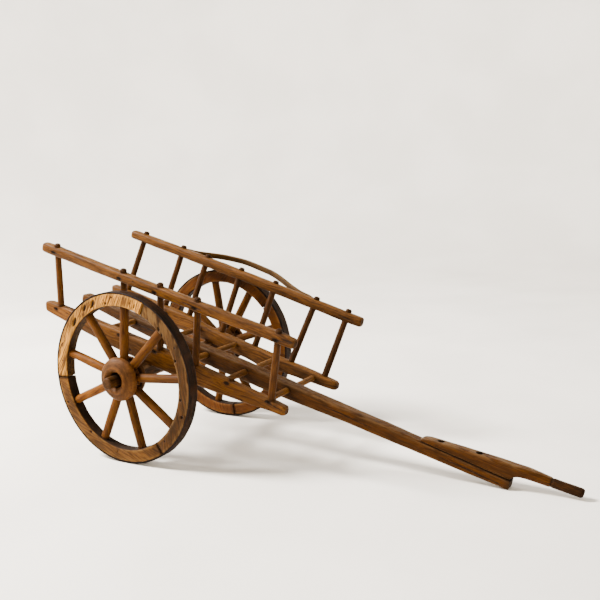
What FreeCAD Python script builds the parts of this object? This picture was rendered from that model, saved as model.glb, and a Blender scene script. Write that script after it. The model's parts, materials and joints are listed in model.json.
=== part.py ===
# A small two-wheeled hay cart with ladder sides, a central draw pole and two spoked wheels.
#
# Millimetres. +X is forwards along the pole, +Y is the cart's left, +Z is up. The origin is on
# the floor, under the middle of the cart's box. The cart stands on its wheels and on the tip of
# its pole, so the whole bed slopes down to the front.
#
# Bed pieces are drawn level, in bed coordinates: along, across and above the centre of the axle.
# Wheel pieces are drawn about the wheel's own centre, with the axle along Y and the face of the
# wheel towards +Y. Each piece is then placed on the cart.
import FreeCAD, Part
import math
import os

import Sketcher
from FreeCAD import Placement, Rotation, Vector

DIMENSIONS = {
    "axle_forward": -197.742,
    "bed_slope": 15.85,
    # wheels
    "wheel_radius": 120.0,
    "wheel_offset": 119.8,
    "wheel_width": 16.6,
    "tyre_thickness": 2.0,
    "felloe_depth": 18.0,
    "felloe_ease": 1.0,
    "felloe_angle": 119.5,
    "spoke_root_radius": 6.2,
    "spoke_tip_radius": 6.1,
    "spoke_root": 18.8,
    "spoke_tip": 109.0,
    "hub_back": 15.5,
    "hub_front": 21.5,
    "hub_back_radius": 28.0,
    "hub_waist_radius": 24.0,
    "hub_waist_half": 6.0,
    "hub_bulb_radius": 30.5,
    "hub_bulb_width": 6.5,
    "hub_face_radius": 18.0,
    "hub_bore_radius": 10.0,
    "dowel_radius": 2.5,
    "dowel_length": 14.0,
    # axle
    "axle_arm_radius": 8.3,
    "axle_arm_tip": 155.0,
    "axle_arm_drop": 0.8,
    "axle_arm_ease": 2.0,
    "axle_shoulder": 101.0,
    "axle_beam_width": 18.0,
    "axle_beam_bottom": -8.5,
    "axle_beam_top": 12.3,
    # bed
    "bottom_rail_offset": 71.3,
    "bottom_rail_width": 15.0,
    "right_top_rail_offset": 93.8,
    "left_top_rail_offset": 96.3,
    "top_rail_width": 14.0,
    "rail_ease": 3.0,
    "rung_radius": 4.5,
    "rung_half_length": 74.5,
    "stake_radius": 4.8,
    "stake_ease": 1.2,
    "stake_foot_depth": 10.0,
    "stake_peg_height": 5.0,
    "nail_radius": 0.9,
    "nail_length": 11.0,
    "nail_sink": 0.3,
    "axle_nail_radius": 1.2,
    "axle_nail_length": 29.0,
    # bow over the left wheel
    "bow_width": 6.0,
    "bow_depth": 8.5,
    "bow_nail_length": 14.0,
    "bow_lean": 5.5,
    # pole and handle
    "pole_width": 18.0,
    "pole_ease": 2.5,
    "handle_width": 17.0,
    "handle_ease": 2.5,
    "grip_radius": 6.0,
    "grip_length": 42.0,
    "grip_rise": 3.0,
    "grip_groove_width": 2.4,
    "grip_groove_depth": 0.6,
    "neck_collar": 0.6,
    "neck_inset": 0.4,
    "handle_nail_radius": 1.1,
    "handle_nail_head_radius": 3.8,
    "handle_nail_head_height": 1.2,
    "handle_nail_length": 20.0,
    # running room between a piece and the hole it sits in
    "socket_gap": 0.1,
}

SPOKE_COUNT = 9
FELLOE_COUNT = 3
SPOKES_PER_FELLOE = SPOKE_COUNT // FELLOE_COUNT
SPOKE_STEP = 360 / SPOKE_COUNT
FELLOE_STEP = 360 / FELLOE_COUNT

# Each side of the cart: the way it faces along Y, and how far its first spoke and its first
# felloe joint are turned up from the forward direction.
SIDES = {"right": -1, "left": 1}
FIRST_SPOKE = {"right": 4.0, "left": 18.0}
FIRST_JOINT = {"right": 64.0, "left": 38.0}

# Where the seven stakes of a ladder stand along the bottom rail and along the top rail. Two are
# lost from the right side, and one of those has left its hole in the bottom rail, a little
# behind the place of its partner on the left.
STAKE_FEET = [-176.5, -96.8, -47.6, 18.8, 81.5, 147.5, 206.2]
STAKE_HEADS = [-175.5, -96.8, -47.6, 18.5, 82.3, 154.5, 209.2]
STAKES = {"right": [0, 2, 3, 4, 6], "left": [0, 1, 2, 3, 4, 5, 6]}
EMPTY_FEET = {"right": [142.0], "left": []}
EMPTY_FOOT_LEAN = (7.0, -22.5, 93.0)

# Where the rungs cross the bed: along it, and above the axle.
RUNGS = [(-87.0, 31.0), (-17.0, 29.0), (53.0, 28.0), (122.0, 27.0), (193.0, 26.5)]

# The side outlines of the long bed pieces, as (along, above, rise of the arc to the next point).
BOTTOM_RAIL = {
    "right": [
        (-205.0, 38.0, 4.5), (229.0, 35.5, 0), (231.0, 30.0, 0),
        (227.5, 23.0, 11.85), (-203.0, 21.5, 0), (-207.0, 31.0, 0),
    ],
    "left": [
        (-205.0, 42.0, 2.0), (10.0, 35.6, 0.5), (229.0, 32.8, 0), (231.0, 26.0, 0),
        (227.5, 19.5, 9.8), (-203.0, 25.0, 0), (-207.0, 33.0, 0),
    ],
}
TOP_RAIL = {
    "right": [(-200.0, 132.4, 1.2), (234.0, 135.4, 2.6), (234.0, 123.6, 1.2), (-200.0, 120.4, 3.6)],
    "left": [(-200.0, 134.4, 1.0), (234.0, 127.0, 2.8), (234.0, 115.2, 1.4), (-200.0, 122.2, 3.6)],
}
DRAW_POLE = [
    (-197.0, 39.5, 0), (26.0, 36.2, 0.8), (202.0, 36.2, 0), (270.0, 35.2, 0), (391.0, 34.6, 0),
    (512.5, 32.4, 0), (510.5, 20.4, 0), (392.0, 18.6, 0), (272.0, 16.8, 9.6), (-157.0, 24.2, 0),
    (-195.0, 25.4, 3.5),
]
HANDLE = [
    (391.4, 34.7, 0), (391.6, 36.8, 2.2), (532.0, 54.6, 0), (532.0, 43.0, 0),
    (519.0, 42.2, -1.6), (509.6, 32.55, 0),
]
HANDLE_NAILS = [416.0, 466.0]
GRIP_START = (552.0, 49.9)

# The bent lath over the left wheel: its line in plan, along and across the bed.
BOW_LINE = [
    (-98.0, 107.4), (-86.0, 108.0), (-65.0, 120.0), (-38.0, 138.0), (-2.0, 147.5),
    (40.0, 144.5), (75.0, 131.5), (103.0, 117.0), (125.0, 108.6), (146.0, 107.4),
]
BOW_NAILS = [(-89.5, 128.0), (140.0, 124.0)]
BOW_TOP_BACK = 133.4

doc = FreeCAD.newDocument("hay_cart")


class Size:
    """A length worked out from the sheet: its value now, and the expression that gives it."""

    def __init__(self, value, text):
        self.value = value
        self.text = text

    def __float__(self):
        return float(self.value)

    def __add__(self, other):
        return Size(float(self) + float(other), f"({self.text} + {expression(other)})")

    def __radd__(self, other):
        return Size(float(other) + float(self), f"({expression(other)} + {self.text})")

    def __sub__(self, other):
        return Size(float(self) - float(other), f"({self.text} - {expression(other)})")

    def __rsub__(self, other):
        return Size(float(other) - float(self), f"({expression(other)} - {self.text})")

    def __mul__(self, other):
        return Size(float(self) * float(other), f"({self.text} * {expression(other)})")

    __rmul__ = __mul__

    def __truediv__(self, other):
        return Size(float(self) / float(other), f"({self.text} / {expression(other)})")

    def __neg__(self):
        return Size(-float(self), f"(-{self.text})")


def expression(value):
    return value.text if isinstance(value, Size) else repr(float(value))


def make_sheet():
    sheet = doc.addObject("Spreadsheet::Sheet", "Dimensions")
    for row, (alias, value) in enumerate(DIMENSIONS.items(), start=1):
        sheet.set(f"A{row}", alias)
        sheet.set(f"B{row}", str(value))
        sheet.setAlias(f"B{row}", alias)
    doc.recompute()
    return sheet


def size(alias):
    return Size(sheet.get(alias), f"Dimensions.{alias}")


def bind(thing, path, value):
    """Set a property to a size, and keep it bound to the sheet."""
    if isinstance(value, Size):
        thing.setExpression(path, value.text)
    else:
        setattr(thing, path, value)


# ---------------------------------------------------------------- sketches and features


def new_body(name):
    return doc.addObject("PartDesign::Body", name + "_body")


def new_sketch(body, role, offset=None):
    sketch = body.newObject("Sketcher::SketchObject", body.Name + "_sketch")
    plane = next(item for item in body.Origin.OriginFeatures if item.Role == role)
    sketch.AttachmentSupport = [(plane, "")]
    sketch.MapMode = "FlatFace"
    if offset:
        sketch.AttachmentOffset = offset
    return sketch


def hold(sketch, kind, geometry, end, value):
    """Hold one coordinate of a point at its distance from the sketch's origin."""
    index = sketch.addConstraint(Sketcher.Constraint(kind, -1, 1, geometry, end, float(value)))
    if isinstance(value, Size):
        sketch.setExpression(f"Constraints[{index}]", value.text)


def arc_through(start, end, rise):
    """An arc that bulges to the left of the way from start to end."""
    along = end - start
    left = Vector(-along.y, along.x, 0).normalize()
    return Part.Arc(start, (start + end) / 2 + left * rise, end)


def turning(corners):
    """1 for an outline that runs clockwise, and -1 for one that runs the other way."""
    following = corners[1:] + corners[:1]
    doubled_area = sum(a.x * b.y - b.x * a.y for a, b in zip(corners, following))
    return -1 if doubled_area > 0 else 1


def draw_outline(sketch, points):
    """Draw a closed outline. A point with a third number starts an arc that bulges so much."""
    corners = [Vector(float(point[0]), float(point[1]), 0) for point in points]
    outwards = turning(corners)
    starts, ends = [], []
    for index, corner in enumerate(corners):
        following = corners[(index + 1) % len(corners)]
        bulge = points[index][2] if len(points[index]) > 2 else 0
        if bulge:
            sketch.addGeometry(arc_through(corner, following, bulge * outwards), False)
            chord = corner.distanceToPoint(following)
            radius = (chord * chord / 4 + bulge * bulge) / (2 * abs(bulge))
            sketch.addConstraint(Sketcher.Constraint("Radius", index, radius))
        else:
            sketch.addGeometry(Part.LineSegment(corner, following), False)
        swapped = sketch.getPoint(index, 1).distanceToPoint(corner) > 1e-6
        starts.append(2 if swapped else 1)
        ends.append(1 if swapped else 2)
    for index, point in enumerate(points):
        following = (index + 1) % len(points)
        joint = Sketcher.Constraint("Coincident", index, ends[index], following, starts[following])
        sketch.addConstraint(joint)
        hold(sketch, "DistanceX", index, starts[index], point[0])
        hold(sketch, "DistanceY", index, starts[index], point[1])


def pad(body, sketch, length):
    feature = body.newObject("PartDesign::Pad", body.Name + "_pad")
    feature.Profile = sketch
    feature.SideType = "Symmetric"
    bind(feature, "Length", length)
    doc.recompute()
    return feature


def revolve(body, sketch, axis, angle=360):
    feature = body.newObject("PartDesign::Revolution", body.Name + "_revolution")
    feature.Profile = sketch
    feature.ReferenceAxis = (sketch, [axis])
    feature.Midplane = True
    bind(feature, "Angle", angle)
    doc.recompute()
    return feature


def side_edges(shape, shortest):
    """The edges that bound the two flat sides of a padded outline, without the short ones."""
    names = []
    for index, edge in enumerate(shape.Edges, start=1):
        on_one_side = edge.BoundBox.YLength < 1e-6
        if on_one_side and edge.Length > shortest:
            names.append(f"Edge{index}")
    return names


def round_sides(body, feature, radius, shortest):
    fillet = body.newObject("PartDesign::Fillet", body.Name + "_fillet")
    fillet.Base = (feature, side_edges(feature.Shape, shortest))
    bind(fillet, "Radius", radius)
    doc.recompute()
    return fillet


def plank(name, points, width, ease, shortest=30):
    """A flat piece: a side outline, as thick as width, with its longer edges rounded."""
    body = new_body(name)
    sketch = new_sketch(body, "XZ_Plane")
    draw_outline(sketch, points)
    feature = pad(body, sketch, width)
    round_sides(body, feature, ease, shortest)
    return body


def turned(name, points):
    """A turned piece about Z. Each point is its radius and its height."""
    body = new_body(name)
    sketch = new_sketch(body, "XZ_Plane")
    draw_outline(sketch, points)
    revolve(body, sketch, "V_Axis")
    return body


def rod_points(radius, length, ease):
    """Half the outline of a rod with eased ends."""
    return [
        (0, 0), (0, length), (radius - ease, length), (radius, length - ease),
        (radius, ease), (radius - ease, 0),
    ]


# ---------------------------------------------------------------- placing and cutting


def bed_placement():
    base = Vector(float(size("axle_forward")), 0, float(size("wheel_radius")))
    return Placement(base, Rotation(Vector(0, 1, 0), float(size("bed_slope"))))


def aim(start, end):
    """A placement that puts a piece drawn along Z at start, pointing at end."""
    return Placement(start, Rotation(Vector(0, 0, 1), end - start))


def cylinder_between(name, start, end, radius):
    """A plain cylinder: a hole to cut, or a nail."""
    item = doc.addObject("Part::Cylinder", name)
    bind(item, "Radius", radius)
    item.Height = start.distanceToPoint(end)
    item.Placement = aim(start, end)
    return item


def gather(name, items):
    compound = doc.addObject("Part::Compound", name)
    compound.Links = items
    return compound


def cut(name, base, tools):
    """The base with all the tools taken away from it."""
    holes = doc.addObject("Part::MultiFuse", name + "_holes")
    holes.Shapes = tools
    feature = doc.addObject("Part::Cut", name)
    feature.Base = base
    feature.Tool = holes
    return feature


nodes = []


def finish(piece, label, placement=None):
    """Name a finished piece, put it in its place and list it as a node."""
    piece.Label = label
    if placement:
        piece.Placement = placement
    nodes.append(piece)
    return piece


def finish_on_bed(piece, label, placement=None):
    """Place a piece drawn in bed coordinates, which then follows the bed's height and slope."""
    finish(piece, label, bed_placement() * (placement or Placement()))
    if placement is None:
        piece.setExpression("Placement.Base.x", "Dimensions.axle_forward")
        piece.setExpression("Placement.Base.z", "Dimensions.wheel_radius")
        piece.setExpression("Placement.Rotation.Angle", "Dimensions.bed_slope")
    return piece


# ---------------------------------------------------------------- measures on the bed


def outline_height(points, along, upper):
    """How high an outline's upper or lower edge runs, taking its arcs as parabolas."""
    for index, point in enumerate(points):
        following = points[(index + 1) % len(points)]
        first, last = sorted((point[0], following[0]))
        forwards = following[0] > point[0]
        if forwards != upper or not first <= along <= last or last - first < 5:
            continue
        part = (along - point[0]) / (following[0] - point[0])
        rise = 4 * part * (1 - part) * point[2]
        straight = point[1] + (following[1] - point[1]) * part
        return straight + (rise if upper else -rise)
    raise ValueError(f"the outline does not reach {along}")


def top_rail_offset(side):
    return SIDES[side] * float(size(f"{side}_top_rail_offset"))


def bottom_rail_offset(side):
    return SIDES[side] * float(size("bottom_rail_offset"))


def rail_middle(outline, along):
    return (outline_height(outline, along, True) + outline_height(outline, along, False)) / 2


def stake_line(side, index):
    """Where a stake's line crosses the middle of the bottom rail and of the top rail."""
    foot = STAKE_FEET[index]
    head = STAKE_HEADS[index]
    low = Vector(foot, bottom_rail_offset(side), rail_middle(BOTTOM_RAIL[side], foot))
    high = Vector(head, top_rail_offset(side), rail_middle(TOP_RAIL[side], head))
    return low, high


def stake_ends(side, index):
    """A stake's two ends: its foot, sunk in the bottom rail, and its peg above the top rail."""
    low, high = stake_line(side, index)
    slope = (high - low) / (high.z - low.z)
    foot_height = outline_height(BOTTOM_RAIL[side], low.x, True) - float(size("stake_foot_depth"))
    peg_height = outline_height(TOP_RAIL[side], high.x, True) + float(size("stake_peg_height"))
    return low + slope * (foot_height - low.z), low + slope * (peg_height - low.z)


def stake_nail(side, index, high):
    """The nail that pins a stake from outside the ladder, at its head or at its foot."""
    foot, _ = stake_ends(side, index)
    low_point, high_point = stake_line(side, index)
    slope = (high_point - low_point) / (high_point.z - low_point.z)
    if high:
        centre = high_point
        width = size("top_rail_width")
        rail = top_rail_offset(side)
    else:
        centre = foot + slope * (float(size("stake_foot_depth")) / 2)
        width = size("bottom_rail_width")
        rail = bottom_rail_offset(side)
    outwards = Vector(0, SIDES[side], 0)
    face = rail + SIDES[side] * float(width) / 2
    head = Vector(centre.x, face, centre.z) - outwards * float(size("nail_sink"))
    return head, head - outwards * float(size("nail_length"))


def nail_hole(name, ends, radius):
    """A hole for a nail, long enough at both ends."""
    start, end = ends
    over = (start - end).normalize() * float(size("socket_gap"))
    return cylinder_between(name, start + over * 10, end - over, radius + size("socket_gap"))


# ---------------------------------------------------------------- wheels


def wheel_placement(side, turn=0):
    """Place a wheel piece. Turn is counted from straight up towards the front."""
    centre = Vector(
        float(size("axle_forward")),
        SIDES[side] * float(size("wheel_offset")),
        float(size("wheel_radius")),
    )
    facing = Rotation(Vector(0, 0, 1), 0 if side == "left" else 180)
    return Placement(centre, Rotation(Vector(0, 1, 0), turn) * facing)


def spoke_turn(side, index):
    return 90 - FIRST_SPOKE[side] - index * SPOKE_STEP


def radial_hole(name, turn, start, end, radius):
    direction = Rotation(Vector(0, 1, 0), turn).multVec(Vector(0, 0, 1))
    return cylinder_between(name, direction * start, direction * end, radius)


def make_hub(side):
    """The turned nave: a back ring, a waist for the spokes, a large bulb and a flat face."""
    name = f"{side}_hub"
    back = -size("hub_back")
    waist = size("hub_waist_half")
    front = size("hub_front")
    bore = size("hub_bore_radius")
    back_radius = size("hub_back_radius")
    bulb_radius = size("hub_bulb_radius")
    bulb_end = waist + size("hub_bulb_width")
    points = [
        (bore, back), (back_radius - 3, back, 0.8), (back_radius, back + 3),
        (back_radius, -waist - 1), (size("hub_waist_radius"), -waist),
        (size("hub_waist_radius"), waist), (bulb_radius - 1, waist), (bulb_radius, waist + 2),
        (bulb_radius, bulb_end, 1.6), (size("hub_face_radius"), front), (bore, front),
    ]
    body = new_body(name)
    sketch = new_sketch(body, "XY_Plane")
    draw_outline(sketch, points)
    revolve(body, sketch, "V_Axis")
    radius = size("spoke_root_radius") + size("socket_gap")
    start = float(size("spoke_root") - size("socket_gap"))
    holes = [
        radial_hole(f"{name}_mortise", index * SPOKE_STEP, start, 40, radius)
        for index in range(SPOKE_COUNT)
    ]
    finish(cut(name + "_cut", body, holes), name, wheel_placement(side, spoke_turn(side, 0)))


def make_spokes(side):
    """Nine round spokes, a little thicker at the hub."""
    root = size("spoke_root")
    tip = size("spoke_tip")
    waist = size("hub_waist_radius")
    root_radius = size("spoke_root_radius")
    tip_radius = size("spoke_tip_radius")
    rim = size("wheel_radius") - size("tyre_thickness") - size("felloe_depth")
    points = [
        (0, root), (0, tip), (tip_radius - 0.5, tip), (tip_radius, tip - 0.5),
        (tip_radius, rim - 2), (root_radius, waist + 3), (root_radius, root + 0.5),
        (root_radius - 0.5, root),
    ]
    for index in range(SPOKE_COUNT):
        name = f"{side}_spoke_{index + 1}"
        finish(turned(name, points), name, wheel_placement(side, spoke_turn(side, index)))


def joint_turn(side, index):
    """Where two felloes meet: halfway between two spokes."""
    return 90 - FIRST_JOINT[side] + index * FELLOE_STEP


def make_felloes(side):
    """Three bent felloes, each holding three spokes, doweled end to end."""
    outer = size("wheel_radius") - size("tyre_thickness")
    inner = outer - size("felloe_depth")
    middle = float(inner + outer) / 2
    half = size("wheel_width") / 2
    ease = size("felloe_ease")
    points = [
        (-half, inner + ease), (-half, outer - ease), (ease - half, outer), (half - ease, outer),
        (half, outer - ease), (half, inner + ease), (half - ease, inner), (ease - half, inner),
    ]
    tip = float(size("spoke_tip") + size("socket_gap"))
    for index in range(FELLOE_COUNT):
        name = f"{side}_felloe_{index + 1}"
        body = new_body(name)
        sketch = new_sketch(body, "YZ_Plane")
        draw_outline(sketch, points)
        revolve(body, sketch, "H_Axis", size("felloe_angle"))
        radius = size("spoke_tip_radius") + size("socket_gap")
        holes = [
            radial_hole(f"{name}_mortise", (number - 1) * SPOKE_STEP, 90, tip, radius)
            for number in range(SPOKES_PER_FELLOE)
        ]
        for end in (-1, 1):
            centre, along = ring_point(end * FELLOE_STEP / 2, middle)
            reach = along * float(size("dowel_length") / 2 + size("socket_gap"))
            radius = size("dowel_radius") + size("socket_gap")
            holes.append(cylinder_between(f"{name}_dowel_hole", centre - reach, centre + reach, radius))
        turn = joint_turn(side, index) + FELLOE_STEP / 2
        finish(cut(name + "_cut", body, holes), name, wheel_placement(side, turn))


def ring_point(turn, radius):
    """A point on the rim and the direction along the rim there."""
    rotation = Rotation(Vector(0, 1, 0), turn)
    return rotation.multVec(Vector(0, 0, radius)), rotation.multVec(Vector(1, 0, 0))


def make_felloe_dowels(side):
    """The three hidden dowels that join the felloes."""
    outer = float(size("wheel_radius") - size("tyre_thickness"))
    middle = outer - float(size("felloe_depth")) / 2
    dowels = []
    for index in range(FELLOE_COUNT):
        centre, along = ring_point(index * FELLOE_STEP, middle)
        reach = along * float(size("dowel_length") / 2)
        dowel = cylinder_between(
            f"{side}_dowel", centre - reach, centre + reach, size("dowel_radius")
        )
        dowels.append(dowel)
    name = f"{side}_felloe_dowels"
    finish(gather(name + "_group", dowels), name, wheel_placement(side, joint_turn(side, 0)))


def make_tyre(side):
    """The thin iron band shrunk on the felloes."""
    outer = size("wheel_radius")
    inner = outer - size("tyre_thickness")
    half = size("wheel_width") / 2
    ease = 0.5
    points = [
        (-half, inner), (-half, outer - ease), (ease - half, outer),
        (half - ease, outer), (half, outer - ease), (half, inner),
    ]
    body = new_body(f"{side}_tyre")
    sketch = new_sketch(body, "YZ_Plane")
    draw_outline(sketch, points)
    revolve(body, sketch, "H_Axis")
    finish(body, f"{side}_tyre", wheel_placement(side))


# ---------------------------------------------------------------- axle


def axle_nail_ends(offset):
    start = Vector(0, offset, float(size("axle_beam_bottom")) + float(size("nail_sink")))
    return start, start + Vector(0, 0, float(size("axle_nail_length")))


def axle_nail_offsets():
    """One nail under the pole and one under each bottom rail."""
    rail = float(size("bottom_rail_offset"))
    return [-rail, 0, rail]


def make_axle():
    """A square beam under the bed, with a round arm at each end for a wheel."""
    half = size("axle_beam_width") / 2
    bottom = size("axle_beam_bottom")
    top = size("axle_beam_top")
    body = new_body("axle")
    sketch = new_sketch(body, "XZ_Plane")
    draw_outline(sketch, [(-half, bottom), (-half, top), (half, top), (half, bottom)])
    pad(body, sketch, size("axle_shoulder") * 2)
    drop = bed_placement().Rotation.inverted().multVec(Vector(0, 0, -1))
    drop *= float(size("axle_arm_drop"))
    radius = size("axle_arm_radius")
    ease = size("axle_arm_ease")
    tip = size("axle_arm_tip")
    points = [
        (0, -tip), (radius - ease, -tip, 0.8), (radius, ease - tip),
        (radius, tip - ease, 0.8), (radius - ease, tip), (0, tip),
    ]
    offset = Placement(Vector(drop.x, 0, drop.z), Rotation())
    arms = new_sketch(body, "XY_Plane", offset)
    draw_outline(arms, points)
    revolve(body, arms, "V_Axis")
    holes = [
        nail_hole("axle_nail_hole", axle_nail_ends(offset), size("axle_nail_radius"))
        for offset in axle_nail_offsets()
    ]
    finish_on_bed(cut("axle_cut", body, holes), "axle")


def make_axle_nails():
    """Three nails driven up through the axle beam into the rails and the pole."""
    nails = [
        cylinder_between("axle_nail", *axle_nail_ends(offset), size("axle_nail_radius"))
        for offset in axle_nail_offsets()
    ]
    finish_on_bed(gather("axle_nails_group", nails), "axle_nails")


def beam_housing():
    """The room that the axle beam takes out of a rail lying across it."""
    gap = size("socket_gap")
    housing = doc.addObject("Part::Box", "beam_housing")
    bind(housing, "Length", size("axle_beam_width") + gap * 2)
    bind(housing, "Width", size("axle_shoulder") * 2)
    bind(housing, "Height", size("axle_beam_top") - size("axle_beam_bottom") + gap)
    housing.Placement.Base = Vector(
        -float(size("axle_beam_width") / 2 + gap),
        -float(size("axle_shoulder")),
        float(size("axle_beam_bottom")),
    )
    return housing


# ---------------------------------------------------------------- bed


def rung_holes(name):
    gap = size("socket_gap")
    reach = Vector(0, float(size("rung_half_length") + gap), 0)
    holes = []
    for along, above in RUNGS:
        centre = Vector(along, 0, above)
        radius = size("rung_radius") + gap
        holes.append(cylinder_between(f"{name}_hole", centre - reach, centre + reach, radius))
    return holes


def stake_hole(name, side, index):
    foot, peg = stake_ends(side, index)
    over = (peg - foot).normalize() * float(size("socket_gap"))
    return cylinder_between(name, foot - over, peg + over, size("stake_radius") + size("socket_gap"))


def empty_foot_hole(side, along):
    """The open hole of a lost stake, in the bottom rail only."""
    rail_top = outline_height(BOTTOM_RAIL[side], along, True)
    foot = Vector(along, bottom_rail_offset(side), rail_top - float(size("stake_foot_depth")))
    mouth = foot + Vector(*EMPTY_FOOT_LEAN).normalize() * 25
    return cylinder_between("empty_foot_hole", foot, mouth, size("stake_radius"))


def make_bottom_rail(side):
    """A deep-bellied rail on edge, resting in the axle beam and carrying a ladder."""
    name = f"{side}_bottom_rail"
    body = plank(name, BOTTOM_RAIL[side], size("bottom_rail_width"), size("rail_ease"))
    body.Placement.Base = Vector(0, bottom_rail_offset(side), 0)
    holes = rung_holes(name) + [beam_housing()]
    for index in STAKES[side]:
        holes.append(stake_hole(f"{name}_socket", side, index))
        holes.append(nail_hole(f"{name}_nail_hole", stake_nail(side, index, False), size("nail_radius")))
    holes += [empty_foot_hole(side, along) for along in EMPTY_FEET[side]]
    for offset in axle_nail_offsets():
        holes.append(nail_hole(f"{name}_axle_nail_hole", axle_nail_ends(offset), size("axle_nail_radius")))
    finish_on_bed(cut(name + "_cut", body, holes), name)


def make_top_rail(side):
    """The slim upper rail of a ladder, with the stakes' pegs standing up through it."""
    name = f"{side}_top_rail"
    body = plank(name, TOP_RAIL[side], size("top_rail_width"), size("rail_ease"))
    body.Placement.Base = Vector(0, top_rail_offset(side), 0)
    holes = []
    for index in STAKES[side]:
        holes.append(stake_hole(f"{name}_socket", side, index))
        holes.append(nail_hole(f"{name}_nail_hole", stake_nail(side, index, True), size("nail_radius")))
    if side == "left":
        holes += bow_nail_holes(name)
    finish_on_bed(cut(name + "_cut", body, holes), name)


def make_stakes(side):
    """The round stakes of a ladder side, leaning outwards."""
    for index in STAKES[side]:
        name = f"{side}_stake_{index + 1}"
        foot, peg = stake_ends(side, index)
        length = foot.distanceToPoint(peg)
        body = turned(name, rod_points(size("stake_radius"), length, size("stake_ease")))
        body.Placement = aim(foot, peg)
        holes = [
            nail_hole(f"{name}_nail_hole", stake_nail(side, index, high), size("nail_radius"))
            for high in (False, True)
        ]
        finish_on_bed(cut(name + "_cut", body, holes), name)


def make_stake_nails(side):
    """The small nails that pin the stakes in both rails, as one group."""
    name = f"{side}_stake_nails"
    nails = [
        cylinder_between(f"{side}_stake_nail", *stake_nail(side, index, high), size("nail_radius"))
        for index in STAKES[side]
        for high in (False, True)
    ]
    finish_on_bed(gather(name + "_group", nails), name)


def make_rungs():
    """Five round rungs, from rail to rail through the pole."""
    for number, (along, above) in enumerate(RUNGS, start=1):
        name = f"bed_rung_{number}"
        length = size("rung_half_length") * 2
        body = turned(name, rod_points(size("rung_radius"), length, 0.5))
        half = Vector(0, float(size("rung_half_length")), 0)
        centre = Vector(along, 0, above)
        finish_on_bed(body, name, aim(centre - half, centre + half))


# ---------------------------------------------------------------- bow over the left wheel


def bow_nail_ends(place):
    along, above = place
    start = Vector(along, top_rail_offset("left") + float(size("top_rail_width")) / 2, above)
    outwards = Vector(0, float(size("bow_width")) - float(size("nail_sink")), 0)
    return start + outwards, start + outwards - Vector(0, float(size("bow_nail_length")), 0)


def bow_nail_holes(name):
    radius = size("nail_radius")
    return [nail_hole(f"{name}_bow_nail_hole", bow_nail_ends(place), radius) for place in BOW_NAILS]


def make_bow():
    """A lath bent outwards over the left wheel, nailed by its ends to the top rail."""
    half = size("bow_width") / 2
    depth = size("bow_depth")
    body = new_body("wheel_bow")
    spine = new_sketch(body, "XY_Plane")
    line = Part.BSplineCurve()
    line.interpolate([Vector(along, across, 0) for along, across in BOW_LINE])
    spine.addGeometry(line, False)
    start_along, start_across = BOW_LINE[0]
    section = new_sketch(body, "YZ_Plane", Placement(Vector(0, 0, start_along), Rotation()))
    near = start_across - half
    far = start_across + half
    draw_outline(section, [(near, -depth), (near, 0), (far, 0), (far, -depth)])
    pipe = body.newObject("PartDesign::AdditivePipe", "wheel_bow_pipe")
    pipe.Profile = section
    pipe.Spine = (spine, ["Edge1"])
    doc.recompute()
    rail = TOP_RAIL["left"]
    slope = (rail[1][1] - rail[0][1]) / (rail[1][0] - rail[0][0])
    along_rail = Rotation(Vector(0, 1, 0), -math.degrees(math.atan(slope)))
    lean = float(size("bow_lean"))
    outwards_up = Rotation(Vector(1, 0, 0), lean)
    drop = start_across * math.sin(math.radians(lean))
    base = Vector(0, 0, BOW_TOP_BACK - slope * start_along - drop)
    body.Placement = Placement(base, along_rail * outwards_up)
    finish_on_bed(cut("wheel_bow_cut", body, bow_nail_holes("wheel_bow")), "wheel_bow")


def make_bow_nails():
    nails = [
        cylinder_between("bow_nail", *bow_nail_ends(place), size("nail_radius"))
        for place in BOW_NAILS
    ]
    finish_on_bed(gather("bow_nails_group", nails), "bow_nails")


# ---------------------------------------------------------------- pole and handle


def handle_nail_ends(along):
    """A nail's two ends. It is driven square to the sloping top of the handle."""
    top = Vector(along, 0, outline_height(HANDLE, along, True))
    ahead = Vector(along + 1, 0, outline_height(HANDLE, along + 1, True))
    inwards = Vector(0, 1, 0).cross(ahead - top).normalize()
    return top, top + inwards * float(size("handle_nail_length"))


def handle_nail_holes(name):
    radius = size("handle_nail_radius")
    return [nail_hole(f"{name}_nail_hole", handle_nail_ends(along), radius) for along in HANDLE_NAILS]


def make_pole():
    """The central pole: deep under the bed, slimmer in front of it, flat where the handle lies."""
    body = plank("draw_pole", DRAW_POLE, size("pole_width"), size("pole_ease"))
    holes = rung_holes("draw_pole") + handle_nail_holes("draw_pole") + [beam_housing()]
    holes.append(nail_hole("draw_pole_axle_nail_hole", axle_nail_ends(0), size("axle_nail_radius")))
    finish_on_bed(cut("draw_pole_cut", body, holes), "draw_pole")


def rounded_box(sketch, half_width, low, high, corner):
    """A box outline with round corners, clockwise from its lower left side."""
    bulge = corner * (1 - math.sqrt(0.5))
    draw_outline(sketch, [
        (-half_width, low + corner), (-half_width, high - corner, bulge),
        (corner - half_width, high), (half_width - corner, high, bulge),
        (half_width, high - corner), (half_width, low + corner, bulge),
        (half_width - corner, low), (corner - half_width, low, bulge),
    ])


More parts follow.
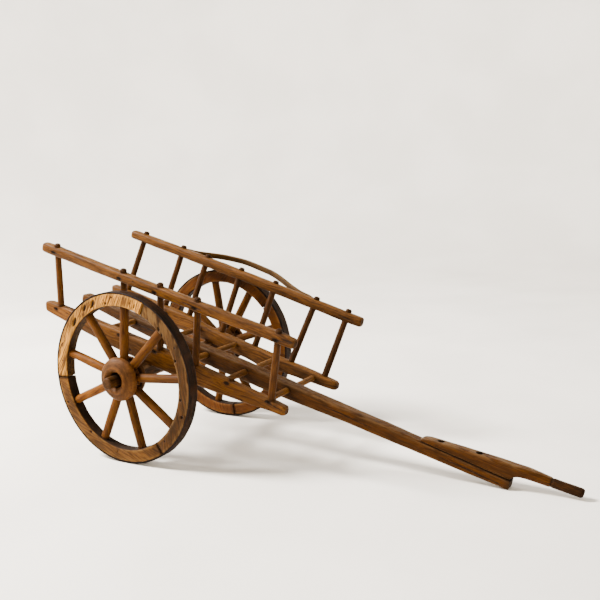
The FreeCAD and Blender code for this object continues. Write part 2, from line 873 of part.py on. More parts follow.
def make_handle():
    """The handle: a wedge on top of the pole's tip, a neck, and a round grip."""
    width = size("handle_width")
    ease = size("handle_ease")
    body = plank("handle", HANDLE, width, ease, shortest=120)
    last_along, last_top, _ = HANDLE[2]
    last_bottom = HANDLE[3][1]
    along, above = GRIP_START
    tilt = Rotation(Vector(0, 1, 0), -float(size("grip_rise")))
    radius = float(size("grip_radius"))

    inset = float(size("neck_inset"))
    thick = new_sketch(body, "YZ_Plane", Placement(Vector(0, 0, last_along - 1), Rotation()))
    rounded_box(thick, float(width) / 2 - inset, last_bottom + inset, last_top - inset, float(ease))
    thin_place = Placement(Vector(0, above, along), Rotation(Vector(1, 0, 0), float(size("grip_rise"))))
    thin = new_sketch(body, "YZ_Plane", thin_place)
    collar = radius + float(size("neck_collar"))
    rounded_box(thin, collar, -collar, collar, collar - 0.7)
    neck = body.newObject("PartDesign::AdditiveLoft", "handle_neck")
    neck.Profile = thick
    neck.Sections = [thin]
    doc.recompute()

    length = size("grip_length")
    grip_radius = size("grip_radius")
    groove = size("grip_groove_width")
    waist = grip_radius - size("grip_groove_depth")
    grip = turned("grip", [
        (0, -2), (0, length), (grip_radius - 2.5, length, 0.7), (grip_radius, length - 2.5),
        (grip_radius, 2 + groove), (waist, 2 + groove / 2), (grip_radius, 2), (grip_radius, -2),
    ])
    grip.Placement = Placement(Vector(along, 0, above), tilt * Rotation(Vector(0, 1, 0), 90))
    whole = doc.addObject("Part::Fuse", "handle_fuse")
    whole.Base = body
    whole.Tool = grip
    finish_on_bed(cut("handle_cut", whole, handle_nail_holes("handle")), "handle")


def make_handle_nails():
    """Two dome-headed nails through the handle into the pole."""
    radius = size("handle_nail_radius")
    head = size("handle_nail_head_radius")
    height = size("handle_nail_head_height")
    length = size("handle_nail_length")
    nails = []
    for along in HANDLE_NAILS:
        nail = turned("handle_nail", [
            (0, -length), (0, height), (head * 0.6, height * 0.8), (head, 0.3), (head, 0.15),
            (radius, 0.15), (radius, -length),
        ])
        top, foot = handle_nail_ends(along)
        nail.Placement = aim(top, top + (top - foot))
        nails.append(nail)
    finish_on_bed(gather("handle_nails_group", nails), "handle_nails")


# ---------------------------------------------------------------- the whole cart


def check_document():
    """Stop if anything failed to build."""
    for item in doc.Objects:
        if "Invalid" in item.State or "Error" in item.State:
            raise RuntimeError(f"{item.Label} failed: {item.State}")
    for node in nodes:
        if node.Shape.isNull() or not node.Shape.isValid() or not node.Shape.Solids:
            raise RuntimeError(f"{node.Label} has no sound shape")


def write_nodes():
    os.makedirs("parts", exist_ok=True)
    for node in nodes:
        node.Shape.exportStep(f"parts/{node.Label}.step")


def report_size():
    box = FreeCAD.BoundBox()
    for node in nodes:
        box.add(node.Shape.optimalBoundingBox(False))
    print(f"{len(nodes)} nodes")
    print(f"x {box.XMin:.3f} {box.XMax:.3f}  y {box.YMin:.3f} {box.YMax:.3f}")
    print(f"z {box.ZMin:.3f} {box.ZMax:.3f}")


sheet = make_sheet()
make_axle()
make_axle_nails()
for name in SIDES:
    make_hub(name)
    make_spokes(name)
    make_felloes(name)
    make_felloe_dowels(name)
    make_tyre(name)
    make_bottom_rail(name)
    make_top_rail(name)
    make_stakes(name)
    make_stake_nails(name)
make_rungs()
make_bow()
make_bow_nails()
make_pole()
make_handle()
make_handle_nails()
doc.recompute()
check_document()
write_nodes()
report_size()
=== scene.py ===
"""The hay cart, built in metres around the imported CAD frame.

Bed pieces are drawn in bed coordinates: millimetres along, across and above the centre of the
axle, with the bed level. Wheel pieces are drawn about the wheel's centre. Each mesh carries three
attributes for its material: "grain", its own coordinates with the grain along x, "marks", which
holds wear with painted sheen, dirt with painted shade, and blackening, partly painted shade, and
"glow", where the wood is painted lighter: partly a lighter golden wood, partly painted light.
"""
import json
import math

import bpy
import numpy as np
from mathutils import Matrix, Vector


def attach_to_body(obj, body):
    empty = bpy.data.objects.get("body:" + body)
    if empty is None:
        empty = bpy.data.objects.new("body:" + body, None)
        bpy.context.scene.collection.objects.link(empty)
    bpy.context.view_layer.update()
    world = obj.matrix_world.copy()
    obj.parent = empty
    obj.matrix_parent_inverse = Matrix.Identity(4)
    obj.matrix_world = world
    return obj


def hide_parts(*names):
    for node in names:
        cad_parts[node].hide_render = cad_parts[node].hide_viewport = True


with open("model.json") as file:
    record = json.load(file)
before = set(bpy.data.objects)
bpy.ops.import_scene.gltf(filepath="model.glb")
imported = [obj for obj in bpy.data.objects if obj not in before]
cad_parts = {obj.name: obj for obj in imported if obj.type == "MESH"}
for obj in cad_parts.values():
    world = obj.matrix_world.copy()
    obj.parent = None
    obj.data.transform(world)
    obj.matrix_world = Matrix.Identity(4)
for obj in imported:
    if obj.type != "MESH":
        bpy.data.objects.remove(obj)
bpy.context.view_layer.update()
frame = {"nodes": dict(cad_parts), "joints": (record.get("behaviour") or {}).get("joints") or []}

MM = 0.001
JOINTS = {joint["child"]: joint for joint in frame["joints"]}
AXLE = Vector(JOINTS["right_wheel"]["pos_m"])
WHEEL_OFFSET = abs(AXLE.y)
BED_SLOPE = math.radians(15.85)
BED = Matrix.Translation((AXLE.x, 0, AXLE.z)) @ Matrix.Rotation(BED_SLOPE, 4, "Y")
SIDES = {"right": -1, "left": 1}

# Wheel
TYRE_INNER = 118.0
RIM_INNER = 100.0
RIM_HALF = 8.3
BORE_RADIUS = 10.05
SPOKE_COUNT = 9
SPOKE_STEP = 360 / SPOKE_COUNT
FIRST_JOINT = {"right": 64.0, "left": 38.0}
GRAIN_ANGLES = {"right": (96.0, -22.0, 64.0), "left": (-10.0, 100.0, 40.0)}

# ---------------------------------------------------------------- small mathematics


def curve(points):
    """A smooth function through (x, y) points."""
    xs = np.array([point[0] for point in points], float)
    ys = np.array([point[1] for point in points], float)
    steps = np.diff(xs)
    slopes = np.diff(ys) / steps
    tangents = np.empty_like(ys)
    tangents[0], tangents[-1] = slopes[0], slopes[-1]
    for i in range(1, len(xs) - 1):
        if slopes[i - 1] * slopes[i] <= 0:
            tangents[i] = 0
        else:
            tangents[i] = 2 * slopes[i - 1] * slopes[i] / (slopes[i - 1] + slopes[i])

    def value(x):
        x = np.asarray(x, float)
        i = np.clip(np.searchsorted(xs, x) - 1, 0, len(xs) - 2)
        t = np.clip((x - xs[i]) / steps[i], 0, 1)
        t2, t3 = t * t, t * t * t
        start = (2 * t3 - 3 * t2 + 1) * ys[i] + (t3 - 2 * t2 + t) * steps[i] * tangents[i]
        end = (3 * t2 - 2 * t3) * ys[i + 1] + (t3 - t2) * steps[i] * tangents[i + 1]
        return start + end

    return value


def smooth_step(x, low, high):
    t = np.clip((np.asarray(x, float) - low) / (high - low), 0, 1)
    return t * t * (3 - 2 * t)


def ripple(points, size, seed):
    """Smooth seeded unevenness, about -1 to 1, over points in mm. Size is its grain in mm."""
    waves = 7
    random = np.random.default_rng(seed)
    total = np.zeros(points.shape[:-1])
    for _ in range(waves):
        direction = random.normal(size=3)
        direction /= np.linalg.norm(direction)
        length = size * random.uniform(0.6, 1.6)
        total += np.sin(points @ direction * (2 * math.pi / length) + random.uniform(0, 2 * math.pi))
    return total / waves ** 0.5 / 1.2


def blob(points, centre, radii, power=1.0):
    """1 at a centre, falling to 0 at an ellipsoid of those radii. A power over 1 makes it fuller."""
    offset = (points - np.array(centre, float)) / np.array(radii, float)
    distance = np.linalg.norm(offset, axis=-1)
    return np.clip(1 - distance, 0, 1) ** (1 / power)


# ---------------------------------------------------------------- meshes


class Shell:
    """A tube of rings of points, with what its material needs."""

    def __init__(self, points, grain=None):
        self.points = np.array(points, float)
        self.grain = self.points.copy() if grain is None else np.array(grain, float)
        shape = self.points.shape[:2]
        self.wear_and_sheen = np.zeros(shape)
        self.dirt_and_shade = np.zeros(shape)
        self.black_and_shade = np.zeros(shape)
        self.glow = np.zeros(shape)

    @property
    def along(self):
        return self.points[..., 0]

    @property
    def across(self):
        return self.points[..., 1]

    @property
    def above(self):
        return self.points[..., 2]

    def soil_and_shade(self, amount):
        """Add dirt or painted shade. What has more already stays as it is, and likewise for the next
        two.
        """
        self.dirt_and_shade = np.maximum(self.dirt_and_shade, amount)

    # Blackening: stains, splits and holes, and in places painted shade.
    def blacken_and_shade(self, amount):
        self.black_and_shade = np.maximum(self.black_and_shade, amount)

    # Wear, and on upward faces partly painted sheen.
    def rub_and_sheen(self, amount):
        self.wear_and_sheen = np.maximum(self.wear_and_sheen, amount)

    def normals(self):
        """Outward directions, found from the neighbouring points."""
        around = np.roll(self.points, -1, axis=1) - np.roll(self.points, 1, axis=1)
        along = np.gradient(self.points, axis=0)
        normal = np.cross(around, along)
        length = np.linalg.norm(normal, axis=-1, keepdims=True)
        normal = normal / np.maximum(length, 1e-9)
        centre = self.points.mean(axis=1, keepdims=True)
        facing = np.sum(normal * (self.points - centre), axis=-1).sum()
        return normal if facing > 0 else -normal

    def push(self, amount):
        """Move the surface outwards by an amount in mm at each point."""
        self.points += self.normals() * np.asarray(amount)[..., None]


def build(node, shells, material, body, matrix=BED, closed_path=False):
    """Make one object out of shells, put it in place, attach it to its body and hide the CAD node
    that it stands for.
    """
    name = f"{node}_v"
    if isinstance(shells, Shell):
        shells = [shells]
    vertices, faces, grains, marks = [], [], [], []
    start = 0
    for shell in shells:
        rows, columns = shell.points.shape[:2]
        vertices.append(shell.points.reshape(-1, 3))
        grains.append(shell.grain.reshape(-1, 3))
        marks.append(np.stack([shell.wear_and_sheen, shell.dirt_and_shade, shell.black_and_shade], -1).reshape(-1, 3))
        index = np.arange(rows * columns).reshape(rows, columns) + start
        following = np.roll(index, -1, axis=0) if closed_path else index[1:]
        here = index if closed_path else index[:-1]
        quads = np.stack(
            [here, np.roll(here, -1, axis=1), np.roll(following, -1, axis=1), following], -1
        )
        faces += quads.reshape(-1, 4).tolist()
        if not closed_path:
            faces.append(index[0][::-1].tolist())
            faces.append(index[-1].tolist())
        start += rows * columns
    mesh = bpy.data.meshes.new(name)
    mesh.from_pydata((np.concatenate(vertices) * MM).tolist(), [], faces)

    def attach(attribute, kind, field, values):
        made = mesh.attributes.new(attribute, kind, "POINT")
        made.data.foreach_set(field, values.astype(np.float32).ravel())

    attach("glow", "FLOAT", "value", np.concatenate([shell.glow.ravel() for shell in shells]))
    attach("grain", "FLOAT_VECTOR", "vector", np.concatenate(grains))
    attach("marks", "FLOAT_VECTOR", "vector", np.clip(np.concatenate(marks), 0, 1))
    mesh.transform(matrix)
    piece = bpy.data.objects.new(name, mesh)
    bpy.context.scene.collection.objects.link(piece)
    fix_facing(mesh)
    mesh.shade_smooth()
    mesh.set_sharp_from_angle(angle=math.radians(42))
    mesh.materials.append(material)
    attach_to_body(piece, body)
    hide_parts(node)


def fix_facing(mesh):
    """Turn the faces outwards if the mesh encloses a negative volume."""
    mesh.calc_loop_triangles()
    corners = np.zeros(len(mesh.vertices) * 3)
    mesh.vertices.foreach_get("co", corners)
    corners = corners.reshape(-1, 3)
    triangles = np.zeros(len(mesh.loop_triangles) * 3, int)
    mesh.loop_triangles.foreach_get("vertices", triangles)
    a, b, c = (corners[triangles.reshape(-1, 3)[:, i]] for i in range(3))
    if np.einsum("ij,ij->i", a, np.cross(b, c)).sum() < 0:
        mesh.flip_normals()


def section(count, power):
    """A rounded box outline of half size 1: its two coordinates, and how near it is to an edge."""
    angle = (np.arange(count) + 0.5) / count * 2 * math.pi
    c, s = np.cos(angle), np.sin(angle)
    reach = (np.abs(c) ** power + np.abs(s) ** power) ** (-1 / power)
    x, y = reach * c, reach * s
    edge = np.clip((np.hypot(x, y) - 1.12) / 0.22, 0, 1)
    return x, y, edge


def stations(start, end, step, cap, rounds=7, blunt=0.32):
    """Where rings lie along a piece, and how far each is drawn in, with rounded closed ends.

    Cap is how long each rounded end is, and blunt how much it narrows. Either may be a pair,
    back and front.
    """
    caps = cap if isinstance(cap, tuple) else (cap, cap)
    blunts = blunt if isinstance(blunt, tuple) else (blunt, blunt)
    count = max(int((end - start - sum(caps)) / step), 2)
    middle = np.linspace(start + caps[0], end - caps[1], count)
    turn = np.linspace(0, math.pi / 2, rounds + 1)[1:]
    lips, shrinks = [], []
    for reach, narrowing in zip(caps, blunts):
        face = [0.55 * (1 - narrowing) + 0.1, 0.3, 0.14, 0.012]
        lips.append(np.concatenate([reach - reach * np.sin(turn), np.zeros(len(face))]))
        shrinks.append(np.concatenate([np.cos(turn) * narrowing + 1 - narrowing, face]))
    along = np.concatenate([(start + lips[0])[::-1], middle, end - lips[1]])
    scale = np.concatenate([shrinks[0][::-1], np.ones(count), shrinks[1]])
    return along, scale


def bar(start, end, top, bottom, centre, half_width, step=1.1, cap=5.0, count=84, power=5.0, seed=0,
        uneven=0.25, top_wear_and_sheen=0.8, blunt=0.2, lean=0.0):
    """A long rail drawn along the bed, with a rounded box section and rounded ends.

    Lean is how far the back end's lower edge stands in front of its upper edge.
    """
    along, scale = stations(start, end, step, cap, blunt=blunt)
    x, y, edge = section(count, power)
    high, low = top(along), bottom(along)
    middle, half_height = (high + low) / 2, (high - low) / 2
    width = half_width(along)
    points = np.empty((len(along), count, 3))
    back = 1 - smooth_step(along, start, start + 25)
    points[..., 0] = along[:, None] + lean * back[:, None] * (1 - y) / 2
    points[..., 1] = centre + (width * scale)[:, None] * x
    points[..., 2] = middle[:, None] + (half_height * scale)[:, None] * y
    shell = Shell(points)
    # Worn edges, and upward faces painted lighter: partly wear and dust, partly painted sheen.
    shell.rub_and_sheen(np.maximum(0.8 * edge, top_wear_and_sheen * smooth_step(y, 0.8, 0.97)))
    ends = np.clip(1 - np.minimum(along - start, end - along) / 4.5, 0, 1)
    shell.rub_and_sheen(0.6 * ends[:, None] * (scale[:, None] > 0.5))
    shell.soil_and_shade(0.75 * (scale < 0.6)[:, None])
    shell.push(uneven * ripple(points * (0.35, 1, 1), 22, seed) * (scale[:, None] > 0.4))
    shell.push(0.4 * uneven * ripple(points * (0.25, 1, 1), 5, seed + 1) * (scale[:, None] > 0.4))
    random = np.random.default_rng(seed + 2)
    shell.grain[..., 0] += random.uniform(0, 900)
    shell.grain[..., 1] += random.uniform(-20, 20)
    shell.grain[..., 2] += random.uniform(22, 60)
    return shell


def rod(start, end, radius, step=1.5, cap=1.5, count=24, seed=0, uneven=0.16, blunt=0.4):
    """A round stick between two points. Radius is a function of the way along, from 0 to 1."""
    start, end = np.array(start, float), np.array(end, float)
    length = np.linalg.norm(end - start)
    axis = (end - start) / length
    side = np.cross(axis, (0, 1, 0) if abs(axis[1]) < 0.8 else (1, 0, 0))
    side /= np.linalg.norm(side)
    up = np.cross(axis, side)
    along, scale = stations(0, length, step, cap, rounds=5, blunt=blunt)
    angle = np.arange(count) / count * 2 * math.pi
    reach = radius(along / length) * scale
    offset = np.cos(angle)[None, :, None] * side + np.sin(angle)[None, :, None] * up
    points = start + along[:, None, None] * axis + reach[:, None, None] * offset
    grain = np.stack([
        np.broadcast_to(along[:, None], reach[:, None].shape).repeat(count, 1),
        reach[:, None] * np.cos(angle),
        reach[:, None] * np.sin(angle),
    ], -1)
    shell = Shell(points, grain)
    random = np.random.default_rng(seed)
    shell.push(uneven * ripple(grain * (0.3, 1, 1), 14, seed + 3) * (scale[:, None] > 0.4))
    shell.soil_and_shade(0.5 * (scale < 0.22)[:, None])
    shell.grain += (random.uniform(0, 900), random.uniform(-9, 9), random.uniform(-9, 9))
    return shell


def lathe(profile, segments):
    """A turned piece about Y, its grain along Y. Profile is a closed loop of (radius, y)."""
    profile = np.array(profile, float)
    angle = np.arange(segments) / segments * 2 * math.pi
    points = np.empty((segments, len(profile), 3))
    points[..., 0] = np.cos(angle)[:, None] * profile[:, 0]
    points[..., 1] = profile[:, 1]
    points[..., 2] = np.sin(angle)[:, None] * profile[:, 0]
    return Shell(points, points[..., [1, 0, 2]])


def refine(profile, step):
    """More points along an open profile, so that it can carry unevenness."""
    result = []
    for (r0, y0), (r1, y1) in zip(profile[:-1], profile[1:]):
        count = max(int(math.hypot(r1 - r0, y1 - y0) / step), 1)
        result += [(r0 + (r1 - r0) * i / count, y0 + (y1 - y0) * i / count) for i in range(count)]
    return result + [profile[-1]]


def node_points(node):
    """A CAD node's vertices in mm, in the row frame."""
    mesh = frame["nodes"][node].data
    points = np.zeros(len(mesh.vertices) * 3, np.float32)
    mesh.vertices.foreach_get("co", points)
    return points.reshape(-1, 3).astype(float) / MM


def stick_ends(node):
    """The two ends of a straight CAD stick, in mm in the row frame, lower end first."""
    points = np.unique(node_points(node).round(3), axis=0)
    centre = points.mean(0)
    _, _, axes = np.linalg.svd(points - centre)
    axis = axes[0]
    if axis[2] < 0:
        axis = -axis
    way = (points - centre) @ axis
    low = points[way < way.min() + 0.4].mean(0)
    high = points[way > way.max() - 0.4].mean(0)
    return low, high


def to_bed(point):
    """A point in the row frame, in mm, in bed coordinates."""
    return np.array(BED.inverted() @ Vector(np.array(point) * MM)) / MM


def bed_ends(node):
    """The two ends of a straight CAD stick in bed coordinates, lower end first."""
    return [to_bed(end) for end in stick_ends(node)]


# ---------------------------------------------------------------- materials


class Shader:
    """A material's node tree, with short calls for its nodes."""

    def __init__(self, name):
        self.material = bpy.data.materials.new(name)
        self.material.use_nodes = True
        self.tree = self.material.node_tree
        self.tree.nodes.clear()
        output = self.tree.nodes.new("ShaderNodeOutputMaterial")
        self.surface = self.tree.nodes.new("ShaderNodeBsdfPrincipled")
        self.tree.links.new(self.surface.outputs[0], output.inputs[0])

    def feed(self, socket, value):
        if isinstance(value, bpy.types.NodeSocket):
            self.tree.links.new(value, socket)
        else:
            socket.default_value = value

    def node(self, kind, inputs, output=0, **settings):
        made = self.tree.nodes.new("ShaderNode" + kind)
        for name, value in settings.items():
            setattr(made, name, value)
        for key, value in inputs.items():
            self.feed(made.inputs[key], value)
        return made.outputs[output]

    def attribute(self, name, output="Vector"):
        made = self.tree.nodes.new("ShaderNodeAttribute")
        made.attribute_name = name
        return made.outputs[output]

    def marks(self):
        """The wear and painted sheen, the dirt and painted shade, and the blackening, partly painted
        shade, that a drawn mesh carries.
        """
        return self.node("SeparateXYZ", {0: self.attribute("marks")}).node.outputs

    def grain_coordinates(self, drawn):
        """The coordinates that a drawn mesh carries, or a CAD node's own place, in mm."""
        if drawn:
            return self.attribute("grain")
        return self.stretch(self.node("TexCoord", {}, "Object"), 1 / MM, 1 / MM, 1 / MM)

    def stretch(self, vector, x, y, z):
        return self.node("VectorMath", {0: vector, 1: (x, y, z)}, operation="MULTIPLY")

    def sum(self, first, second):
        return self.node("VectorMath", {0: first, 1: second}, operation="ADD")

    def maths(self, operation, first, second=0.0, clamp=False):
        return self.node("Math", {0: first, 1: second}, operation=operation, use_clamp=clamp)

    def noise(self, vector, scale=1.0, detail=2.0, rough=0.5, output="Fac"):
        inputs = {"Vector": vector, "Scale": scale, "Detail": detail, "Roughness": rough}
        return self.node("TexNoise", inputs, output)

    def remap(self, value, low, high, to_low=0.0, to_high=1.0):
        inputs = {0: value, 1: low, 2: high, 3: to_low, 4: to_high}
        return self.node("MapRange", inputs, interpolation_type="SMOOTHSTEP")

    def mix(self, factor, first, second, blend="MIX"):
        made = self.tree.nodes.new("ShaderNodeMix")
        made.data_type = "RGBA"
        made.blend_type = blend
        self.feed(made.inputs[0], factor)
        self.feed(made.inputs[6], first)
        self.feed(made.inputs[7], second)
        return made.outputs[2]

    def ramp(self, value, stops):
        made = self.tree.nodes.new("ShaderNodeValToRGB")
        elements = made.color_ramp.elements
        while len(elements) < len(stops):
            elements.new(0.5)
        for element, (place, colour) in zip(elements, stops):
            element.position = place
            element.color = colour
        self.feed(made.inputs[0], value)
        return made.outputs[0]

    def finish(self, colour, roughness, height=None, depth=0.0002, strength=0.6, specular=0.4):
        self.feed(self.surface.inputs["Base Color"], colour)
        self.feed(self.surface.inputs["Roughness"], roughness)
        self.surface.inputs["Specular IOR Level"].default_value = specular
        if height is not None:
            normal = self.node("Bump", {"Height": height, "Distance": depth, "Strength": strength})
            self.feed(self.surface.inputs["Normal"], normal)
        return self.material


def rgb(red, green, blue):
    """A colour from its 0 to 255 screen values."""
    channels = []
    for value in (red, green, blue):
        value /= 255
        channels.append(value / 12.92 if value <= 0.04045 else ((value + 0.055) / 1.055) ** 2.4)
    return (*channels, 1.0)


# Dark colours for dirt and painted shade, and for blackening, which is partly painted shade too.
GRIME_AND_SHADE = rgb(14, 5, 0)
SOOT_AND_SHADE = (0.006, 0.0024, 0.0008, 1)


def wood(name, light, middle, dark, ring=2.2, ring_weight=0.3, streak_weight=0.62, rough=0.5,
         holes=0.0, worn_and_sheen=(196, 150, 104), gloss=0.05, patch=0.55, drawn=True):
    """Old waxed wood, with growth rings, streaks, pores, worn edges and dirt, and with painted sheen,
    painted shade and painted light mixed in from the marks and the glow.
    """
    s = Shader(name)
    light, middle, dark, worn_and_sheen = (rgb(*colour) for colour in (light, middle, dark, worn_and_sheen))
    grain = s.grain_coordinates(drawn)
    wear_and_sheen, dirt_and_shade, black_and_shade = s.marks()
    warp = s.noise(s.stretch(grain, 0.011, 0.05, 0.05), detail=2.0, output="Color")
    bent = s.sum(grain, s.stretch(s.node("VectorMath", {0: warp, 1: (0.5, 0.5, 0.5)},
                                         operation="SUBTRACT"), 0, 16, 16))
    rings = s.node("TexWave", {"Vector": s.stretch(bent, 0.012, 1, 1), "Scale": 0.314 / ring,
                               "Distortion": 1.2, "Detail": 2.0, "Detail Scale": 0.4},
                   "Fac", wave_type="RINGS", rings_direction="X", wave_profile="SAW")
    late = s.remap(rings, 0.25, 1.0)
    streaks = s.noise(s.stretch(bent, 0.012, 0.62, 0.62), detail=4.0, rough=0.62)
    fibres = s.noise(s.stretch(grain, 0.06, 2.1, 2.1), detail=3.0, rough=0.6)
    pores = s.remap(s.noise(s.stretch(grain, 0.11, 3.4, 3.4), detail=1.0), 0.66, 0.72)
    blotch = s.noise(s.stretch(grain, 0.018, 0.05, 0.05), detail=3.0)
    tone = s.maths("MULTIPLY", late, ring_weight)
    tone = s.maths("ADD", tone, s.maths("MULTIPLY", s.remap(streaks, 0.43, 0.62), streak_weight))
    tone = s.maths("ADD", tone, s.maths("MULTIPLY", s.maths("SUBTRACT", fibres, 0.5), 1.3))
    tone = s.maths("MULTIPLY", tone, 0.8, clamp=True)
    colour = s.ramp(tone, [(0.0, light), (0.45, middle), (1.0, dark)])
    colour = s.mix(s.remap(blotch, 0.35, 0.7, 0.0, patch), colour, dark)
    colour = s.mix(s.maths("MULTIPLY", pores, 0.75), colour, GRIME_AND_SHADE)
    worn_through = s.noise(s.stretch(grain, 0.06, 0.25, 0.25), detail=3.0)
    rubbed_and_sheen = s.maths("MULTIPLY", wear_and_sheen, s.remap(worn_through, 0.35, 0.6))
    # The worn colour on rubbed edges, and on upward faces partly painted sheen.
    colour = s.mix(s.maths("MULTIPLY", rubbed_and_sheen, 0.85), colour, worn_and_sheen)
    if holes:
        spread = s.stretch(grain, 0.7, 1, 1)
        cells = s.node("TexVoronoi", {"Vector": spread, "Scale": holes}, "Distance")
        seen = s.noise(grain, 0.03, 1.0)
        worm = s.maths("MULTIPLY", s.remap(cells, 0.08, 0.045), s.remap(seen, 0.52, 0.56))
        black_and_shade = s.maths("MAXIMUM", black_and_shade, worm)
    # Where the glow asks, a brightened copy: partly a lighter golden wood, partly painted light.
    golden = s.mix(1.0, colour, (2.1, 2.0, 1.8, 1), "MULTIPLY")
    colour = s.mix(s.attribute("glow", "Fac"), colour, golden)
    # Dirt and painted shade, mixed in as grime.
    dust_and_shade = s.maths("MULTIPLY", dirt_and_shade, s.remap(fibres, 0.3, 0.7, 0.75, 1.0))
    colour = s.mix(dust_and_shade, colour, GRIME_AND_SHADE)
    # Blackening, partly painted shade, mixed in as soot.
    colour = s.mix(black_and_shade, colour, SOOT_AND_SHADE)
    height = s.maths("ADD", s.maths("MULTIPLY", fibres, 0.6), s.maths("MULTIPLY", late, -0.25))
    height = s.maths("SUBTRACT", height, s.maths("MULTIPLY", pores, 0.7))
    height = s.maths("SUBTRACT", height, s.maths("MULTIPLY", black_and_shade, 1.4))
    matt = s.remap(s.maths("ADD", s.maths("MULTIPLY", fibres, 0.5), s.maths("MULTIPLY", blotch, 0.5)),
                   0.3, 0.7, rough - 0.1, rough + 0.12)
    matt = s.maths("ADD", matt, s.maths("MULTIPLY", dirt_and_shade, 0.25), clamp=True)
    return s.finish(colour, matt, height, depth=0.00035, strength=0.55, specular=gloss)


def iron(name, base, rust, bright, rough=0.6, gloss=0.05, drawn=True):
    """Old blackened iron with rust and rubbed high spots."""
    s = Shader(name)
    base, rust, bright = (rgb(*colour) for colour in (base, rust, bright))
    grain = s.grain_coordinates(drawn)
    wear_and_sheen, dirt_and_shade, black_and_shade = s.marks()
    patches = s.noise(s.stretch(grain, 0.03, 0.12, 0.12), detail=5.0, rough=0.65)
    speckle = s.noise(grain, 0.9, 4.0, 0.7)
    lines = s.noise(s.stretch(grain, 0.02, 0.9, 0.9), detail=4.0, rough=0.6)
    colour = s.mix(s.remap(patches, 0.4, 0.62), base, rust)
    colour = s.mix(s.maths("MULTIPLY", s.remap(lines, 0.5, 0.72), 0.7), colour, bright)
    colour = s.mix(s.maths("MULTIPLY", s.remap(speckle, 0.55, 0.7), 0.45), colour, base)
    colour = s.mix(s.maths("MULTIPLY", wear_and_sheen, s.remap(speckle, 0.3, 0.6, 0.2, 0.7)), colour, bright)
    colour = s.mix(dirt_and_shade, colour, (0.012, 0.009, 0.007, 1))
    colour = s.mix(black_and_shade, colour, (0.004, 0.003, 0.003, 1))
    height = s.maths("ADD", s.maths("MULTIPLY", speckle, 0.7), s.maths("MULTIPLY", lines, 0.5))
    matt = s.remap(speckle, 0.3, 0.7, rough - 0.12, rough + 0.15)
    s.surface.inputs["Metallic"].default_value = 0.0
    return s.finish(colour, matt, height, depth=0.0003, strength=0.6, specular=gloss)


RAIL = wood("rail_wood", (87, 52, 12), (60, 34, 5), (29, 13, 0), ring=3.4, holes=0.06,
            worn_and_sheen=(88, 57, 20))
POLE = wood("pole_wood", (54, 28, 1), (39, 19, 0), (20, 8, 0), ring=2.6, worn_and_sheen=(66, 48, 27))
STAKE = wood("stake_wood", (68, 38, 4), (50, 26, 2), (27, 11, 0), ring=1.6, worn_and_sheen=(88, 56, 17))
RUNG = wood("rung_wood", (98, 64, 23), (75, 45, 12), (40, 20, 3), ring=1.6, worn_and_sheen=(130, 90, 42))
SPOKE_COLOURS = (80, 45, 4), (59, 30, 2), (33, 13, 0)
SPOKE = wood("spoke_wood", *SPOKE_COLOURS, ring=1.8, holes=0.1, worn_and_sheen=(98, 60, 12))
HUB = wood("hub_wood", (77, 45, 11), (56, 31, 6), (28, 13, 1), ring=3.4, ring_weight=0.2,
           streak_weight=0.35, rough=0.55, gloss=0.06, worn_and_sheen=(96, 56, 18))
# The right wheel's felloe woods: pale, tan and brown, partly their own tones and partly painted light
# falling off from the upper left.
RIM_PALE = wood("rim_wood_pale", (192, 134, 52), (134, 85, 26), (36, 18, 3), ring=4.4,
                ring_weight=0.18, streak_weight=1.1, patch=0.8, worn_and_sheen=(150, 107, 46))
RIM_TAN = wood("rim_wood_tan", (86, 54, 16), (60, 36, 7), (28, 13, 1), ring=4.4,
               ring_weight=0.22, streak_weight=0.8, holes=0.055, patch=0.7, worn_and_sheen=(112, 78, 32))
RIM_BROWN = wood("rim_wood_brown", (64, 38, 10), (44, 25, 4), (20, 9, 0), ring=4.4,
                 ring_weight=0.22, streak_weight=0.8, holes=0.055, patch=0.7, worn_and_sheen=(106, 77, 40))
# The left wheel's rim: a red-brown wood, partly its own tone and partly painted shade.
RIM_RED_SHADED = wood("rim_wood_red_shaded", (75, 39, 5), (54, 27, 2), (28, 12, 0), ring=4.4,
               ring_weight=0.12, streak_weight=0.5, holes=0.055, worn_and_sheen=(104, 68, 28))
AXLE_WOOD = wood("axle_wood", (64, 37, 8), (46, 25, 4), (24, 11, 0), ring_weight=0.5)
BOW = wood("bow_wood", (80, 53, 18), (57, 36, 9), (30, 15, 1), ring=1.8, worn_and_sheen=(102, 76, 40))
TYRE = iron("tyre_iron", (12, 5, 1), (30, 14, 3), (48, 27, 10))
NAIL_COLOURS = (6, 3, 0), (10, 5, 1), (15, 9, 3)
NAIL = iron("nail_iron", *NAIL_COLOURS, rough=0.8, gloss=0.02)

# ---------------------------------------------------------------- bed rails

STAKE_NODES = {
    side: sorted(n for n in frame["nodes"] if n.startswith(f"{side}_stake_") and "nails" not in n)
    for side in SIDES
}


RUNGS = [f"bed_rung_{number}" for number in range(1, 6)]
BOTTOM_OFFSET = 71.3
TOP_OFFSET = {"right": 93.8, "left": 96.3}
RAIL_INNER_FACE = 63.8
POLE_HALF = 9


def mark_around(shell, points, radius):
    """Dirt that has gathered around sticks standing in a piece."""
    for point in points:
        shell.soil_and_shade(0.8 * blob(shell.points, point, (radius,) * 3))


def crossing(node, height):
    """Where a stake's axis passes a height above the axle, in bed coordinates."""
    low, high = bed_ends(node)
    return low + (high - low) * (height - low[2]) / (high[2] - low[2])


def crossings(side, height, line):
    """Where a side's stakes pass through a rail's top or bottom line."""
    places = (crossing(node, height) for node in STAKE_NODES[side])
    return [crossing(node, line(place[0])) for node, place in zip(STAKE_NODES[side], places)]


